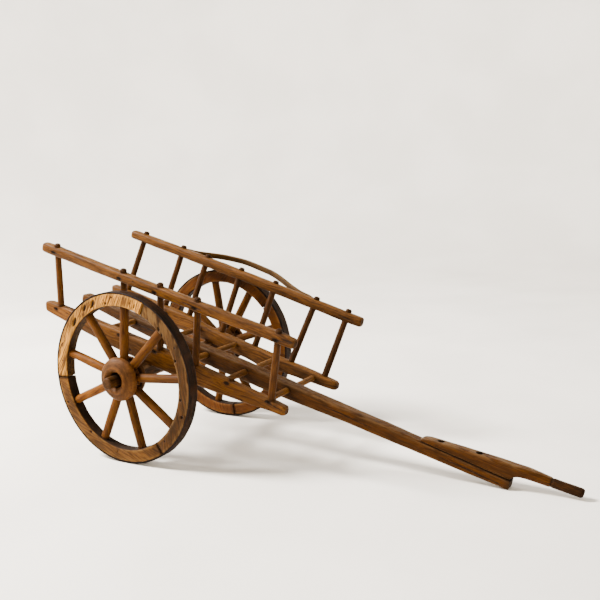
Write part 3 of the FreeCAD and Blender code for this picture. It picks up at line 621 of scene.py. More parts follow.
def rung_places(across):
    """The middle of each bed rung, moved across to where it enters a piece."""
    return [sum(bed_ends(node)) / 2 * (1, 0, 1) + (0, across, 0) for node in RUNGS]


def rear_painted_light(shell, side):
    """Painted light: the rear ends of the right rails are painted a lighter golden brown, less so on
    upward faces.
    """
    rear = 1 - smooth_step(shell.along, -196, -120)
    upward = np.clip(shell.normals()[..., 2], 0, 1)
    return 0.85 * rear * (1 - 0.75 * upward) * (side == "right")


def shade_front(shell, side):
    """Painted shade: the left ladder is painted darker towards the front, less on its upward faces,
    and the tops of the right rails are painted darker towards the front.
    """
    upward = np.clip(shell.normals()[..., 2], 0, 1)
    if side == "left":
        shell.soil_and_shade(smooth_step(shell.along, -120, 170) * (0.6 - 0.4 * upward))
    else:
        shell.soil_and_shade(0.3 * upward * smooth_step(shell.along, 60, 160))


def nail_spots(shell, spots, side_sign, half_width, centre):
    """A stain and a shallow dent around each nail in an outer face."""
    for along, above in spots:
        place = (along, centre + side_sign * half_width, above)
        stain = blob(shell.points, place, (6.2, 4.5, 3.0))
        shell.blacken_and_shade(smooth_step(stain, 0.2, 0.34))
        halo = blob(shell.points, place, (8, 5, 4))
        shell.soil_and_shade(0.4 * smooth_step(halo, 0.0, 0.5))
        shell.push(-0.8 * smooth_step(stain, 0.2, 0.8))


def cracks(shell, items):
    """Thin dark splits. Each is a start and an end, in the shell's coordinates, and a depth."""
    for start, end, depth in items:
        start, end = np.array(start, float), np.array(end, float)
        way = end - start
        length = np.linalg.norm(way)
        t = np.clip((shell.points - start) @ way / length ** 2, 0, 1)
        nearest = start + t[..., None] * way
        wobble = 0.5 * ripple(shell.points * (1, 0, 0), 9, int(abs(start[0])) + 5)
        distance = np.abs(np.linalg.norm(shell.points - nearest, axis=-1) - np.abs(wobble) * 0.4)
        width = 1.0 * np.sin(math.pi * np.clip(t, 0.05, 0.95)) + 0.2
        near = np.clip(1 - distance / width, 0, 1)
        shell.blacken_and_shade(smooth_step(near, 0.1, 0.7))
        shell.push(-depth * near)


BOTTOM_LINES = {
    "right": (
        curve([(-207, 36.5), (-195, 38.6), (-100, 40.6), (12, 41.2), (110, 39.6), (190, 37.2),
               (231, 35.6)]),
        curve([(-207, 21.6), (-195, 20.6), (-120, 15.0), (-50, 11.3), (18, 10.2), (80, 11.4),
               (150, 16.0), (208, 21.4), (231, 22.8)]),
    ),
    "left": (
        curve([(-207, 41.4), (-190, 42.0), (-60, 41.6), (-35, 39.6), (-6, 36.0), (60, 35.2),
               (150, 34.2), (220, 33.0), (231, 31.8)]),
        curve([(-207, 24.6), (-190, 23.4), (-110, 17.6), (-30, 13.4), (50, 12.2), (130, 14.0),
               (200, 17.8), (231, 19.8)]),
    ),
}
BOTTOM_NAILS = {
    "right": [(-181, 32.2), (-53.5, 35), (12.3, 33.6), (75, 34.5), (204.7, 34.0)],
    "left": [(-183, 34), (-103, 34), (-53.5, 33), (12.5, 31), (75, 30), (141, 29.5), (200, 28)],
}


def make_bottom_rail(side, sign):
    top, bottom = BOTTOM_LINES[side]
    centre = sign * BOTTOM_OFFSET
    half = 7.3
    shell = bar(-206.4, 231, top, bottom, centre,
                curve([(-207, 7.0), (-190, half), (0, 7.5), (200, 7.2), (231, 6.9)]),
                seed=11 + sign, cap=(4.6, 5.6), blunt=(0.36, 0.42), power=3.8, top_wear_and_sheen=0.5, lean=3.4)
    # painted light on the rear end, on the right side only
    shell.glow = rear_painted_light(shell, side)
    mark_around(shell, crossings(side, 38, top), 8.5)
    shell.soil_and_shade(0.55 * smooth_step(-(shell.above - bottom(shell.along)), -1.5, 0.5))
    for place in rung_places(sign * RAIL_INNER_FACE):
        shell.soil_and_shade(0.9 * blob(shell.points, place, (8, 3, 8)))
    nail_spots(shell, BOTTOM_NAILS[side], sign, half, centre)
    if side == "right":
        # the open socket of a lost stake, with a nail's stain and dent beside it
        mouth = np.array((141.8, centre, float(top(141.8))))
        inside = np.linalg.norm((shell.points - mouth) * (0.9, 1, 0.3), axis=-1)
        hollow = 1 - smooth_step(inside, 3.3, 4.7)
        shell.points[..., 2] -= 8.0 * hollow
        shell.blacken_and_shade(hollow)
        nail_spots(shell, [(137.8, 34.2)], sign, half, centre)
        small = blob(shell.points, (-30.2, centre - half, 21.3), (3, 3, 2.4))
        small += blob(shell.points, (165, centre - 7.0, 20.4), (4, 3, 2.4))
        shell.blacken_and_shade(smooth_step(small, 0.15, 0.5))
        cracks(shell, [((150, centre - 7, 37.4), (176, centre - half, 35.6), 0.7),
                       ((196, centre - half, 33), (231, centre - 6.8, 30.5), 0.6)])
    else:
        cracks(shell, [((-60, centre - 7, 40.6), (-6, centre - 7.4, 34.4), 0.5)])
    shade_front(shell, side)
    build(f"{side}_bottom_rail", shell, RAIL, "frame")


TOP_LINES = {
    "right": (
        curve([(-202, 132.8), (-192, 133.4), (-60, 134.2), (60, 135.4), (160, 136.4), (222, 136.6),
               (236, 136.2)]),
        curve([(-202, 118.8), (-190, 118.8), (-60, 119.4), (60, 120.4), (160, 121.6), (220, 122.6),
               (236, 123.0)]),
    ),
    "left": (
        curve([(-202, 134.4), (-192, 135.0), (-60, 134.2), (60, 132.2), (160, 129.8), (222, 128.2),
               (236, 127.6)]),
        curve([(-202, 121.4), (-190, 121.0), (-60, 119.4), (60, 117.4), (160, 115.2), (220, 114.0),
               (236, 114.0)]),
    ),
}
TOP_NAILS = {
    "right": [(-176.4, 124.6), (-49.4, 125.2), (14, 125.2), (82, 125.6), (209.7, 126.6)],
    "left": [(-182, 127), (-103, 126), (-53.5, 126), (12, 125), (76, 124), (148, 122.5),
             (203, 121.5)],
}


def make_top_rail(side, sign):
    top, bottom = TOP_LINES[side]
    centre = sign * TOP_OFFSET[side]
    half = 6.8
    shell = bar(-202, 234.8, top, bottom, centre,
                curve([(-202, 6.5), (-188, 6.9), (0, 7.0), (210, 6.9), (234.8, 6.6)]),
                seed=31 + sign, cap=(4.2, 3.2), blunt=(0.34, 0.26), power=3.2)
    # painted light, half as strong, on the rear end, on the right side only
    shell.glow = 0.5 * rear_painted_light(shell, side)
    for line in (top, bottom):
        mark_around(shell, crossings(side, 126, line), 7.5)
    nail_spots(shell, TOP_NAILS[side], sign, half, centre)
    if side == "right":
        # the front end is chipped and split around the last stake
        chip = blob(shell.points, (233, centre - 1, 137.5), (19, 11, 7.5), 1.6)
        shell.push(-1.3 * chip - 0.7 * chip * ripple(shell.points, 3.2, 77))
        shell.soil_and_shade(0.5 * chip)
        torn = blob(shell.points, (226, centre - 6.2, 131.5), (14, 5, 2.6), 1.2)
        shell.push(-1.2 * torn)
        shell.blacken_and_shade(0.9 * smooth_step(torn, 0.3, 0.7))
        bruise = blob(shell.points, (237, centre - 3, 126), (7, 7, 6), 1.2)
        shell.soil_and_shade(0.85 * bruise)
        cracks(shell, [((203, centre - half, 127.4), (234, centre - 6.4, 129.6), 1.1),
                       ((-182, centre - half, 125), (-160, centre - 6.9, 124.0), 0.4),
                       ((60, centre - 6.9, 128), (96, centre - 6.9, 127), 0.4)])
    else:
        cracks(shell, [((196, centre - half, 121.6), (226, centre - 6.6, 120.4), 0.5)])
    shade_front(shell, side)
    build(f"{side}_top_rail", shell, RAIL, "frame")


for make_rail in (make_bottom_rail, make_top_rail):
    for side, sign in SIDES.items():
        make_rail(side, sign)

# ---------------------------------------------------------------- stakes, rungs and their nails


def make_stake(side, index, node):
    low, high = bed_ends(node)
    radius = curve([(0, 4.7), (0.2, 4.85), (0.55, 4.75), (0.9, 4.6), (1, 4.5)])
    seed = 100 + index + (40 if side == "left" else 0)
    shell = rod(low, high, radius, cap=2.6, blunt=0.75, seed=seed)
    peg = smooth_step(shell.above, high[2] - 6.5, high[2] - 3.8)
    shell.soil_and_shade(peg * (0.55 + 0.3 * ripple(shell.points, 4, 130 + index)))
    rail_top = low[2] + 9.0
    shell.soil_and_shade(0.6 * (1 - smooth_step(shell.above, rail_top, rail_top + 6)))
    under = high[2] - 19.5
    shell.soil_and_shade(0.6 * smooth_step(shell.above, under - 6, under))
    shade_front(shell, side)
    # painted light: the right stakes are painted lighter towards the rear
    if side == "right":
        shell.glow = 0.5 * (1 - smooth_step(shell.along, -150, -60))
    build(node, shell, STAKE, "frame")


def make_rung(number, node):
    low, high = sorted(bed_ends(node), key=lambda end: end[1])
    radius = curve([(0, 4.2), (0.06, 4.45), (0.3, 4.35), (0.5, 4.45), (0.75, 4.3), (1, 4.2)])
    shell = rod(low, high, radius, cap=0.8, seed=60 + number)
    for face in (-RAIL_INNER_FACE, -POLE_HALF, POLE_HALF, RAIL_INNER_FACE):
        shell.soil_and_shade(0.8 * np.clip(1 - np.abs(shell.across - face) / 4, 0, 1))
    build(node, shell, RUNG, "frame")


for side in SIDES:
    for index, node in enumerate(STAKE_NODES[side]):
        make_stake(side, index, node)
for number, node in enumerate(RUNGS, 1):
    make_rung(number, node)


def nail_head(place, direction, radius, seed, height=0.5):
    """A small hand-made nail: an uneven domed head and the start of its shank."""
    shank = 3.0
    direction = np.array(direction, float)
    place = np.array(place, float)
    side = np.cross(direction, (1, 0, 0) if abs(direction[0]) < 0.8 else (0, 1, 0))
    side /= np.linalg.norm(side)
    up = np.cross(direction, side)
    rings = [(0.06, height), (0.45, height * 0.95), (0.8, height * 0.7), (1.0, height * 0.25),
             (0.98, 0.0), (0.5, -0.15), (0.46, -shank), (0.05, -shank)]
    angle = np.arange(16) / 16 * 2 * math.pi
    random = np.random.default_rng(seed)
    lump = 1 + 0.10 * np.sin(angle * 2 + random.uniform(0, 6))
    lump = lump + 0.06 * np.sin(angle * 3 + random.uniform(0, 6))
    points = np.array([
        place + direction * depth + (np.cos(angle) * lump)[:, None] * side * radius * reach
        + (np.sin(angle) * lump)[:, None] * up * radius * reach
        for reach, depth in rings
    ])
    shell = Shell(points, points * 3)
    shell.wear_and_sheen[:3] = 0.5
    return shell


for side, sign in SIDES.items():
    shells = []
    for nails, face, seed in ((BOTTOM_NAILS[side], BOTTOM_OFFSET + 6.7, 200),
                              (TOP_NAILS[side], TOP_OFFSET[side] + 6.2, 220)):
        for number, (along, above) in enumerate(nails):
            shells.append(nail_head((along, sign * face, above), (0, sign, 0), 1.5, seed + number))
    build(f"{side}_stake_nails", shells, NAIL, "frame")

# ---------------------------------------------------------------- draw pole and handle

POLE_TOP = curve([(-199, 38.8), (-188, 39.6), (-90, 38.2), (26, 36.4), (110, 37.4), (160, 37.0),
                  (202, 36.4), (270, 35.4), (391, 34.8), (512.5, 32.6)])
POLE_BOTTOM = curve([(-199, 26.2), (-188, 25.0), (-157, 23.8), (-60, 16.4), (60, 12.2), (160, 12.6),
                     (240, 15.2), (290, 16.9), (396, 18.3), (470, 19.6), (512.5, 20.6)])


def make_pole():
    shell = bar(-198.5, 511.8, POLE_TOP, POLE_BOTTOM, 0.0,
                curve([(-199, 8.4), (-186, 8.8), (0, 9.0), (300, 8.9), (420, 8.7), (511, 8.5)]),
                seed=51, cap=(3.4, 1.5), power=7.5, step=1.4, blunt=(0.28, 0.1), top_wear_and_sheen=0.5)
    for across in (-POLE_HALF, POLE_HALF):
        for place in rung_places(across):
            shell.soil_and_shade(0.9 * blob(shell.points, place, (8.5, 3, 8.5)))
    shell.soil_and_shade(0.7 * smooth_step(shell.along, 503, 511))
    seam = np.abs(shell.above - POLE_TOP(shell.along))
    shell.soil_and_shade((1 - smooth_step(seam, 0.6, 2.0)) * smooth_step(shell.along, 388, 396))
    spot = blob(shell.points, (172.5, 6.6, float(POLE_TOP(172.5))), (4, 2.6, 3))
    shell.blacken_and_shade(smooth_step(spot, 0.2, 0.7))
    cracks(shell, [((250, -8.8, 27), (330, -8.9, 25.4), 0.5), ((-120, -8.9, 30), (-20, -9, 28), 0.4),
                   ((420, -8.8, 26), (500, -8.5, 24), 0.5)])
    front = 0.35 * smooth_step(shell.along, 190, 260)
    shell.glow = np.maximum(front, 0.7 * (1 - smooth_step(shell.along, -195, -170)))
    build("draw_pole", shell, POLE, "frame")


HANDLE_TOP = curve([(391, 36.4), (394, 38.6), (402, 40.8), (412, 42.2), (440, 45.6), (465, 48.6),
                    (490, 51.2), (515, 53.4), (528, 54.9), (540, 55.5), (552, 55.7), (557, 55.6),
                    (594, 57.4)])
HANDLE_LOW = curve([(391, 34.9), (440, 34.0), (500, 33.0), (509, 33.2), (512.5, 36.5), (516, 39.2),
                    (522, 41.0), (532, 42.0), (544, 42.4), (552, 42.8), (557, 43.2), (594, 45.6)])
HANDLE_HALF = curve([(391, 6.0), (396, 7.8), (405, 8.4), (500, 8.5), (520, 8.3), (536, 7.4),
                     (550, 6.6), (557, 6.2), (594, 6.0)])
HANDLE_POWER = curve([(391, 5.0), (500, 5.0), (530, 3.2), (550, 2.1), (557, 2.0), (594, 2.0)])
HANDLE_NAILS = (416.0, 466.0)


def make_handle():
    """The handle is square where it lies on the pole, and round at its grip."""
    end = 593.5
    along, scale = stations(391, end, 0.8, (1.9, 4.0), blunt=(0.32, 0.5))
    power = HANDLE_POWER(along)[:, None]
    count = 52
    angle = (np.arange(count) + 0.5) / count * 2 * math.pi
    cosine, sine = np.cos(angle), np.sin(angle)
    reach = (np.abs(cosine) ** power + np.abs(sine) ** power) ** (-1 / power)
    high, low = HANDLE_TOP(along), HANDLE_LOW(along)
    points = np.empty((len(along), count, 3))
    points[..., 0] = along[:, None]
    points[..., 1] = (HANDLE_HALF(along) * scale)[:, None] * reach * cosine
    points[..., 2] = ((high + low) / 2)[:, None] + ((high - low) / 2 * scale)[:, None] * reach * sine
    shell = Shell(points)
    place = points[..., 0]
    grip = smooth_step(place, 553, 558)
    edge = np.clip((reach - 1.12) / 0.22, 0, 1)
    up = np.clip(reach * sine, 0, 2)
    # Worn edges, and the top painted lighter: partly wear, partly painted sheen.
    shell.wear_and_sheen = np.maximum(0.8 * edge, 0.95 * smooth_step(up, 0.8, 0.97)) * (1 - grip)
    ring = np.exp(-((place - 556.2) / 1.3) ** 2)
    unevenness = 0.22 * ripple(points * (0.3, 1, 1), 16, 71)
    shell.push(-0.7 * ring + unevenness * (scale[:, None] > 0.4))
    shell.soil_and_shade(0.9 * ring)
    shell.soil_and_shade(0.45 * grip + 0.35 * smooth_step(place, 566, 588))
    shell.soil_and_shade(smooth_step(place, 588, end) * 0.95)
    shell.soil_and_shade((1 - smooth_step(points[..., 2] - HANDLE_LOW(place), 0.2, 1.4))
               * (1 - smooth_step(place, 505, 514)) * 0.95)
    heads = []
    for number, nail in enumerate(HANDLE_NAILS):
        stain = blob(points, (nail, -0.5, float(HANDLE_TOP(nail))), (7.0, 5.6, 4.4))
        shell.blacken_and_shade(0.9 * smooth_step(stain, 0.1, 0.4))
        shell.push(-0.5 * smooth_step(stain, 0.2, 0.8))
        heads.append(nail_head((nail, -0.5, float(HANDLE_TOP(nail)) - 0.3), (-0.13, 0, 0.99), 3.9,
                               300 + number, height=1.3))
    shell.grain += (300, 5, 40)
    shell.glow = 0.35 * (1 - grip)
    build("handle", shell, POLE, "frame")
    build("handle_nails", heads, NAIL, "frame")


make_pole()
make_handle()

# ---------------------------------------------------------------- bow over the left wheel

BOW_START, BOW_END = -98, 146
BOW_THICK, BOW_WIDE = 2.9, 4.2
BOW_FOOT = 107.4
BOW_CURVE = curve([(BOW_START, BOW_FOOT), (-86, 108.0), (-65, 120.0), (-38, 138.0), (-2, 147.5),
                   (40, 144.5), (75, 131.5), (103, 117.0), (125, 108.6), (BOW_END, BOW_FOOT)])
BOW_LEAN = math.tan(math.radians(5.5))


def make_bow():
    """The bent lath over the left wheel, nailed outside the left top rail."""
    along = np.linspace(BOW_START, BOW_END, 190)
    across = BOW_CURVE(along)
    across[6:-6] = np.convolve(across, np.ones(13) / 13, "valid")
    tangent = np.stack([np.gradient(along), np.gradient(across)], -1)
    tangent /= np.linalg.norm(tangent, axis=1, keepdims=True)
    outward = np.stack([-tangent[:, 1], tangent[:, 0]], -1)
    count = 28
    x, y, edge = section(count, 4.5)
    thin = np.interp(along, [BOW_START, -90, 136, BOW_END], [0.72, 1, 1, 0.6])
    middle = 133.4 - 4.25 - 0.017 * (along - BOW_START) + BOW_LEAN * (across - BOW_FOOT)
    points = np.empty((len(along), count, 3))
    points[..., 0] = along[:, None] + outward[:, :1] * (BOW_THICK * thin)[:, None] * x
    points[..., 1] = across[:, None] + outward[:, 1:] * (BOW_THICK * thin)[:, None] * x
    points[..., 2] = middle[:, None] + (BOW_WIDE * thin)[:, None] * y
    cap = np.array([0.6, 0.25, 0.02])[:, None, None]
    first, last = (ring.mean(1, keepdims=True) for ring in (points[:1], points[-1:]))
    head = first + (points[:1] - first) * cap[::-1]
    tail = last + (points[-1:] - last) * cap
    points = np.concatenate([head, points, tail])
    spacing = 1.35
    way = np.concatenate([[0] * 3, np.arange(len(along)) * spacing, [len(along) * spacing] * 3])
    grain = np.stack([
        np.repeat(way[:, None], count, 1),
        np.tile(x * BOW_THICK, (len(way), 1)),
        np.tile(y * BOW_WIDE, (len(way), 1)),
    ], -1)
    shell = Shell(points, grain + (500, 14, 33))
    shell.rub_and_sheen(edge * 0.8)
    shell.soil_and_shade(0.45 * (x < -0.7))
    shell.push(0.18 * ripple(grain * (0.3, 1, 1), 12, 91))
    build("wheel_bow", shell, BOW, "frame")
    face = TOP_OFFSET["left"] + 7 + 5.6
    nails = [nail_head((along, face, above), (0, 1, 0), 1.5, 310 + number)
             for number, (along, above) in enumerate([(-93, 128.6), (140, 124.8)])]
    build("bow_nails", nails, NAIL, "frame")


make_bow()

# ---------------------------------------------------------------- axle


def make_axle():
    """A square beam under the bed, with a round arm for each wheel."""
    along, scale = stations(-101, 101, 2.0, 1.0)
    count = 40
    x, y, edge = section(count, 6)
    points = np.empty((len(along), count, 3))
    points[..., 0] = (8.9 * scale)[:, None] * x
    points[..., 1] = along[:, None]
    points[..., 2] = 1.9 + (10.3 * scale)[:, None] * y
    beam = Shell(points, points[..., [1, 0, 2]] + (100, 30, 12))
    beam.rub_and_sheen(edge * 0.6)
    beam.push(0.2 * ripple(points * (1, 0.3, 1), 18, 95) * (scale[:, None] > 0.4))
    beam.soil_and_shade(0.25)
    shells = [beam]
    centre = to_bed((AXLE.x / MM, 0, 119.2))
    for sign in (-1, 1):
        radius = curve([(0, 8.2), (0.6, 8.25), (0.9, 8.2), (1, 7.8)])
        arm = rod(centre + (0, sign * 99, 0), centre + (0, sign * 154.6, 0), radius, cap=2.2,
                  step=1.2, count=40, seed=97 + sign, uneven=0.05)
        hidden = 1 - smooth_step(np.abs(arm.across), 141, 145)
        arm.dirt_and_shade = np.maximum(0.5 * arm.dirt_and_shade, 0.8 * hidden)
        shells.append(arm)
    build("axle", shells, AXLE_WOOD, "frame")


make_axle()

# ---------------------------------------------------------------- wheels

HUB_OUTER = [
    (BORE_RADIUS, -15.4), (14, -15.45), (24.6, -15.4), (26.6, -14.6), (27.7, -13.2), (28.0, -11.5),
    (27.9, -8.6), (27.3, -7.4), (25.2, -6.6), (24.0, -6.2), (23.8, -3), (23.8, 3), (24.0, 5.6),
    (25.4, 6.0), (28.4, 6.1), (29.7, 6.6), (30.3, 7.8), (30.45, 9.6), (30.2, 11.4), (29.4, 13.2),
    (28.1, 14.8), (26.3, 16.3), (24.2, 17.6), (22.2, 18.6), (20.4, 19.4), (18.8, 20.2), (17.4, 20.7),
    (16.0, 20.8), (14.7, 20.3), (13.4, 19.3), (12.1, 17.8), (10.9, 16.0), (BORE_RADIUS, 14.0),
    (BORE_RADIUS, 5), (BORE_RADIUS, -8),
]
RING_MARKS = [-12.6, -10.2, 8.8]
FIRST_SPOKE = {"right": 4.0, "left": 18.0}


def wheel_matrix(side):
    """A wheel's place. The mesh is drawn with the wheel's face towards +Y."""
    sign = SIDES[side]
    place = Matrix.Translation((AXLE.x, sign * WHEEL_OFFSET, AXLE.z))
    return place @ Matrix.Scale(sign, 4, (0, 1, 0))


def turned(points, angle):
    """How far points lie along and across a direction in the wheel's plane."""
    x, z = points[..., 0], points[..., 2]
    return (x * math.cos(angle) + z * math.sin(angle), -x * math.sin(angle) + z * math.cos(angle))


def on_wheel(degrees, radius, out=0):
    """A place in wheel coordinates."""
    bearing = math.radians(degrees)
    return math.cos(bearing) * radius, out, math.sin(bearing) * radius


def make_hub(side):
    shell = lathe(refine(HUB_OUTER, 0.9), 180)
    radius = np.hypot(shell.along, shell.above)
    axial = shell.across
    seed = 400 + SIDES[side]

    def band(place, width):
        return np.exp(-((axial - place) / width) ** 2)

    amount = 0.22 * ripple(shell.points, 20, seed)
    amount = amount + 0.07 * ripple(shell.points * (1, 6, 1), 6, seed + 1)
    for mark in RING_MARKS:
        amount -= 0.28 * band(mark, 0.28) * (radius > 22)
    shell.push(np.minimum(amount, 0.1) * smooth_step(radius, 11.5, 14))
    shell.soil_and_shade(0.95 * band(5.2, 1.1) * (radius > 22) * (radius < 29))
    shell.soil_and_shade(0.9 * band(-6.4, 0.9) * (radius > 22))
    shell.soil_and_shade(0.4 * band(19.0, 0.9) * (radius > 18.8))
    # painted shade: the hub is darkened and blackened at the bore, in the gap round the axle arm
    shell.soil_and_shade(1 - smooth_step(radius, 10.1, 11.6))
    shell.blacken_and_shade((1 - smooth_step(radius, BORE_RADIUS, 10.4)) * 0.9)
    shell.rub_and_sheen(0.6 * band(21.0, 0.8) * (radius > 16.0))
    shell.rub_and_sheen(0.3 * (np.abs(axial - 11) < 4))
    for angle, reach in ((0.7, 6), (2.9, 4), (4.4, 5)):
        bearing = np.arctan2(shell.above, shell.along) - angle - 0.03 * np.sin(radius)
        bearing = np.abs((bearing + math.pi) % (2 * math.pi) - math.pi) * radius
        fade = 1 - smooth_step(radius, 10 + reach, 13 + reach)
        shell.blacken_and_shade(np.clip(1 - bearing / 0.7, 0, 1) * (axial > 19.5) * fade)
    shell.grain += (40, 12 + SIDES[side] * 3, 6)
    build(f"{side}_hub", shell, HUB, f"{side}_wheel", wheel_matrix(side),
          closed_path=True)


# Painted light and shade on each spoke: how much lighter (above 0) or darker each spoke is painted,
# from the wheel's first spoke on.
SPOKE_LIGHT_AND_SHADE = (-0.18, -0.12, -0.22, -0.22, 0.45, 0.6, 0.05, -0.38, -0.3)


def make_spokes(side):
    centre = np.array((AXLE.x, SIDES[side] * WHEEL_OFFSET, AXLE.z)) / MM
    place = Matrix.Translation(Vector(centre) * MM)
    for number in range(1, SPOKE_COUNT + 1):
        node = f"{side}_spoke_{number}"
        ends = [end - centre for end in stick_ends(node)]
        ends.sort(key=np.linalg.norm)
        inner = ends[0] * 19.0 / np.linalg.norm(ends[0])
        outer = ends[1] * 108.6 / np.linalg.norm(ends[1])
        shell = rod(inner, outer, curve([(0, 6.1), (0.12, 6.2), (0.5, 6.2), (0.8, 6.05), (1, 5.9)]),
                    cap=1.0, count=28, seed=500 + number * 3 + SIDES[side], uneven=0.2)
        way = np.linalg.norm(shell.points * (1, 0, 1), axis=-1)
        shell.dirt_and_shade = 0.9 * (1 - smooth_step(way, 25.5, 29))
        shell.soil_and_shade(0.75 * smooth_step(way, 96, 100))
        shell.wear_and_sheen = 0.35 * np.exp(-((way - 62) / 26) ** 2)
        bearing = math.degrees(math.atan2(outer[2], outer[0])) % 360
        place_in_wheel = int(round((bearing - FIRST_SPOKE[side]) / SPOKE_STEP)) % SPOKE_COUNT
        # painted light on the lit spokes, painted shade on the others
        tone = SPOKE_LIGHT_AND_SHADE[place_in_wheel]
        shell.glow = np.full(way.shape, max(tone, 0.0))
        shell.soil_and_shade(max(-tone, 0.0))
        build(node, shell, SPOKE, f"{side}_wheel", place)


# Felloe woods: on the right partly painted light, on the left partly painted shade.
RIM_WOODS = {"right": (RIM_BROWN, RIM_TAN, RIM_PALE), "left": (RIM_RED_SHADED, RIM_RED_SHADED, RIM_RED_SHADED)}

# Marks on the rims' outer faces: (angle, radius, length along the grain, width, depth).
RIM_SLOTS = {
    "right": [
        (136, 107.4, 7.2, 2.4, 2.4), (120.7, 110.5, 5.2, 2.3, 2.2), (111.9, 109.4, 6.6, 2.6, 2.6),
        (99, 105, 2.0, 1.8, 1.6), (44.8, 104.2, 3.2, 1.8, 1.6), (40, 102.6, 2.4, 1.6, 1.4),
        (18.4, 103.6, 2.0, 1.9, 1.8), (349.4, 104.3, 1.9, 1.8, 1.8), (337.8, 111.5, 2.2, 2.0, 2.0),
        (71, 107.8, 3.4, 1.0, 0.8), (75, 110, 2.6, 0.9, 0.7), (203, 112, 2.6, 1.2, 1.0),
        (232.8, 104.4, 2.4, 1.6, 1.2), (262, 106, 1.2, 1.2, 1.0), (171, 108, 1.1, 1.1, 1.0),
        (92, 112, 1.2, 1.0, 1.0), (312, 106, 1.4, 1.4, 1.2), (27, 111, 1.2, 1.1, 1.0),
    ],
    "left": [
        (60, 110, 2.4, 1.6, 1.4), (112, 108, 1.6, 1.5, 1.4), (140, 112, 3.4, 1.8, 1.6),
        (220, 108, 1.6, 1.6, 1.4), (246, 112, 1.2, 1.2, 1.2), (320, 109, 2.0, 1.6, 1.4),
        (18, 107, 1.4, 1.4, 1.2), (350, 112, 1.2, 1.2, 1.0),
    ],
}


MM_PER_DEGREE = 1.9
SLOT_GROWTH = 1.2


def make_felloes(side):
    count = 72
    x, y, edge = section(count, 9)
    half_span = 119.5 / 2 * MM_PER_DEGREE
    half_depth = (TYRE_INNER - RIM_INNER) / 2 - 0.05
    for index in range(3):
        angles, scale = stations(-half_span, half_span, 0.95, 1.0, rounds=3)
        angles = np.radians(FIRST_JOINT[side] - 60 - 120 * index + angles / MM_PER_DEGREE)
        degrees = np.degrees(angles)
        wave = 0.35 * np.sin(angles * 3 + index)
        radius = (RIM_INNER + TYRE_INNER) / 2 + (half_depth * scale)[:, None] * y
        radius = radius + (1 - smooth_step(y, -1.0, -0.2)) * wave[:, None]
        points = np.empty((len(angles), count, 3))
        points[..., 0] = np.cos(angles)[:, None] * radius
        points[..., 1] = (RIM_HALF * scale)[:, None] * x
        points[..., 2] = np.sin(angles)[:, None] * radius
        turn = math.radians(GRAIN_ANGLES[side][index])
        lengthways, sideways = turned(points, turn)
        grain = np.stack([lengthways, sideways + 30 * index, points[..., 1] + 26 + 9 * index], -1)
        shell = Shell(points, grain)
        shell.rub_and_sheen(edge * 0.7 * (scale[:, None] > 0.5))
        face = smooth_step(points[..., 1], 6.0, 8.0)
        if side == "right":
            if index == 0:
                shell.rub_and_sheen(0.55 * smooth_step(degrees, 18, 56)[:, None] * face)
            # the pale felloe's tone, partly painted light, runs on across the left joint: the tan
            # felloe is painted lighter and the pale one darker next to it
            tone = np.exp(-np.abs(degrees % 360 - 184) / 11)[:, None] * face
            shell.glow = 0.6 * tone * (index == 1)
            shell.soil_and_shade(0.3 * tone * (index == 2))
        seed = 600 + index * 7 + SIDES[side]
        shell.push(0.16 * ripple(points, 16, seed) * (scale[:, None] > 0.4) * (y < 0.9))
        # painted shade: the rim's inner face, towards the hub, is painted dark
        shell.soil_and_shade(0.9 * (y < -0.9))
        shell.soil_and_shade(0.85 * smooth_step(y, 0.86, 1.0))
        ends = np.minimum(np.arange(len(angles)), np.arange(len(angles))[::-1])
        shell.soil_and_shade(0.8 * (ends < 9)[:, None])
        # painted shade: the inner face is partly blackened as well
        shell.blacken_and_shade(0.6 * (y < -0.9))
        for spoke in range(SPOKE_COUNT):
            place = on_wheel(FIRST_SPOKE[side] + SPOKE_STEP * spoke, RIM_INNER)
            shell.soil_and_shade(0.95 * blob(points, place, (8.2, 8, 8.2)))
        for angle, reach, length, width, depth in RIM_SLOTS[side]:
            offset = points - on_wheel(angle, reach, RIM_HALF)
            u, v = turned(offset, turn)
            distance = np.sqrt((u / length) ** 2 + (v / width) ** 2 + (offset[..., 1] / 3) ** 2)
            hole = 1 - smooth_step(distance / SLOT_GROWTH, 0.62, 1.0)
            shell.points[..., 1] -= depth * hole * face
            shell.blacken_and_shade(hole * face)
        build(f"{side}_felloe_{index + 1}", shell, RIM_WOODS[side][index], f"{side}_wheel",
              wheel_matrix(side))


def make_tyre(side):
    half = RIM_HALF
    profile = refine([
        (TYRE_INNER, -half), (119.3, -half), (119.75, -half + 0.35), (119.95, -half + 1.2),
        (119.9, -3), (119.95, 3), (119.95, half - 1.2), (119.75, half - 0.35), (119.3, half),
        (TYRE_INNER, half), (TYRE_INNER, 0),
    ], 0.9)
    shell = lathe(profile, 540)
    radius = np.hypot(shell.along, shell.above)
    bearing = np.arctan2(shell.above, shell.along)
    seed = 700 + SIDES[side]
    rough = ripple(shell.points, 24, seed) * 0.5 + ripple(shell.points, 5, seed + 1) * 0.35
    outer = smooth_step(radius, 119.0, 119.6)
    radial = shell.points * (1, 0, 1)
    radial /= np.linalg.norm(radial, axis=-1, keepdims=True)
    shell.points += radial * (np.minimum(0.28 * rough - 0.16, 0.02) * outer)[..., None]
    shell.grain = np.stack([bearing * 119, shell.across, radius], -1)
    side_face = smooth_step(np.abs(shell.across), half - 0.9, half - 0.1)
    shell.black_and_shade = 0.75 * side_face
    shell.wear_and_sheen = 0.5 * (1 - side_face) * smooth_step(ripple(shell.points, 30, seed + 2), -0.2, 0.8)
    build(f"{side}_tyre", shell, TYRE, f"{side}_wheel", wheel_matrix(side),
          closed_path=True)


for side in SIDES:
    make_hub(side)
    make_spokes(side)
    make_felloes(side)
    make_tyre(side)


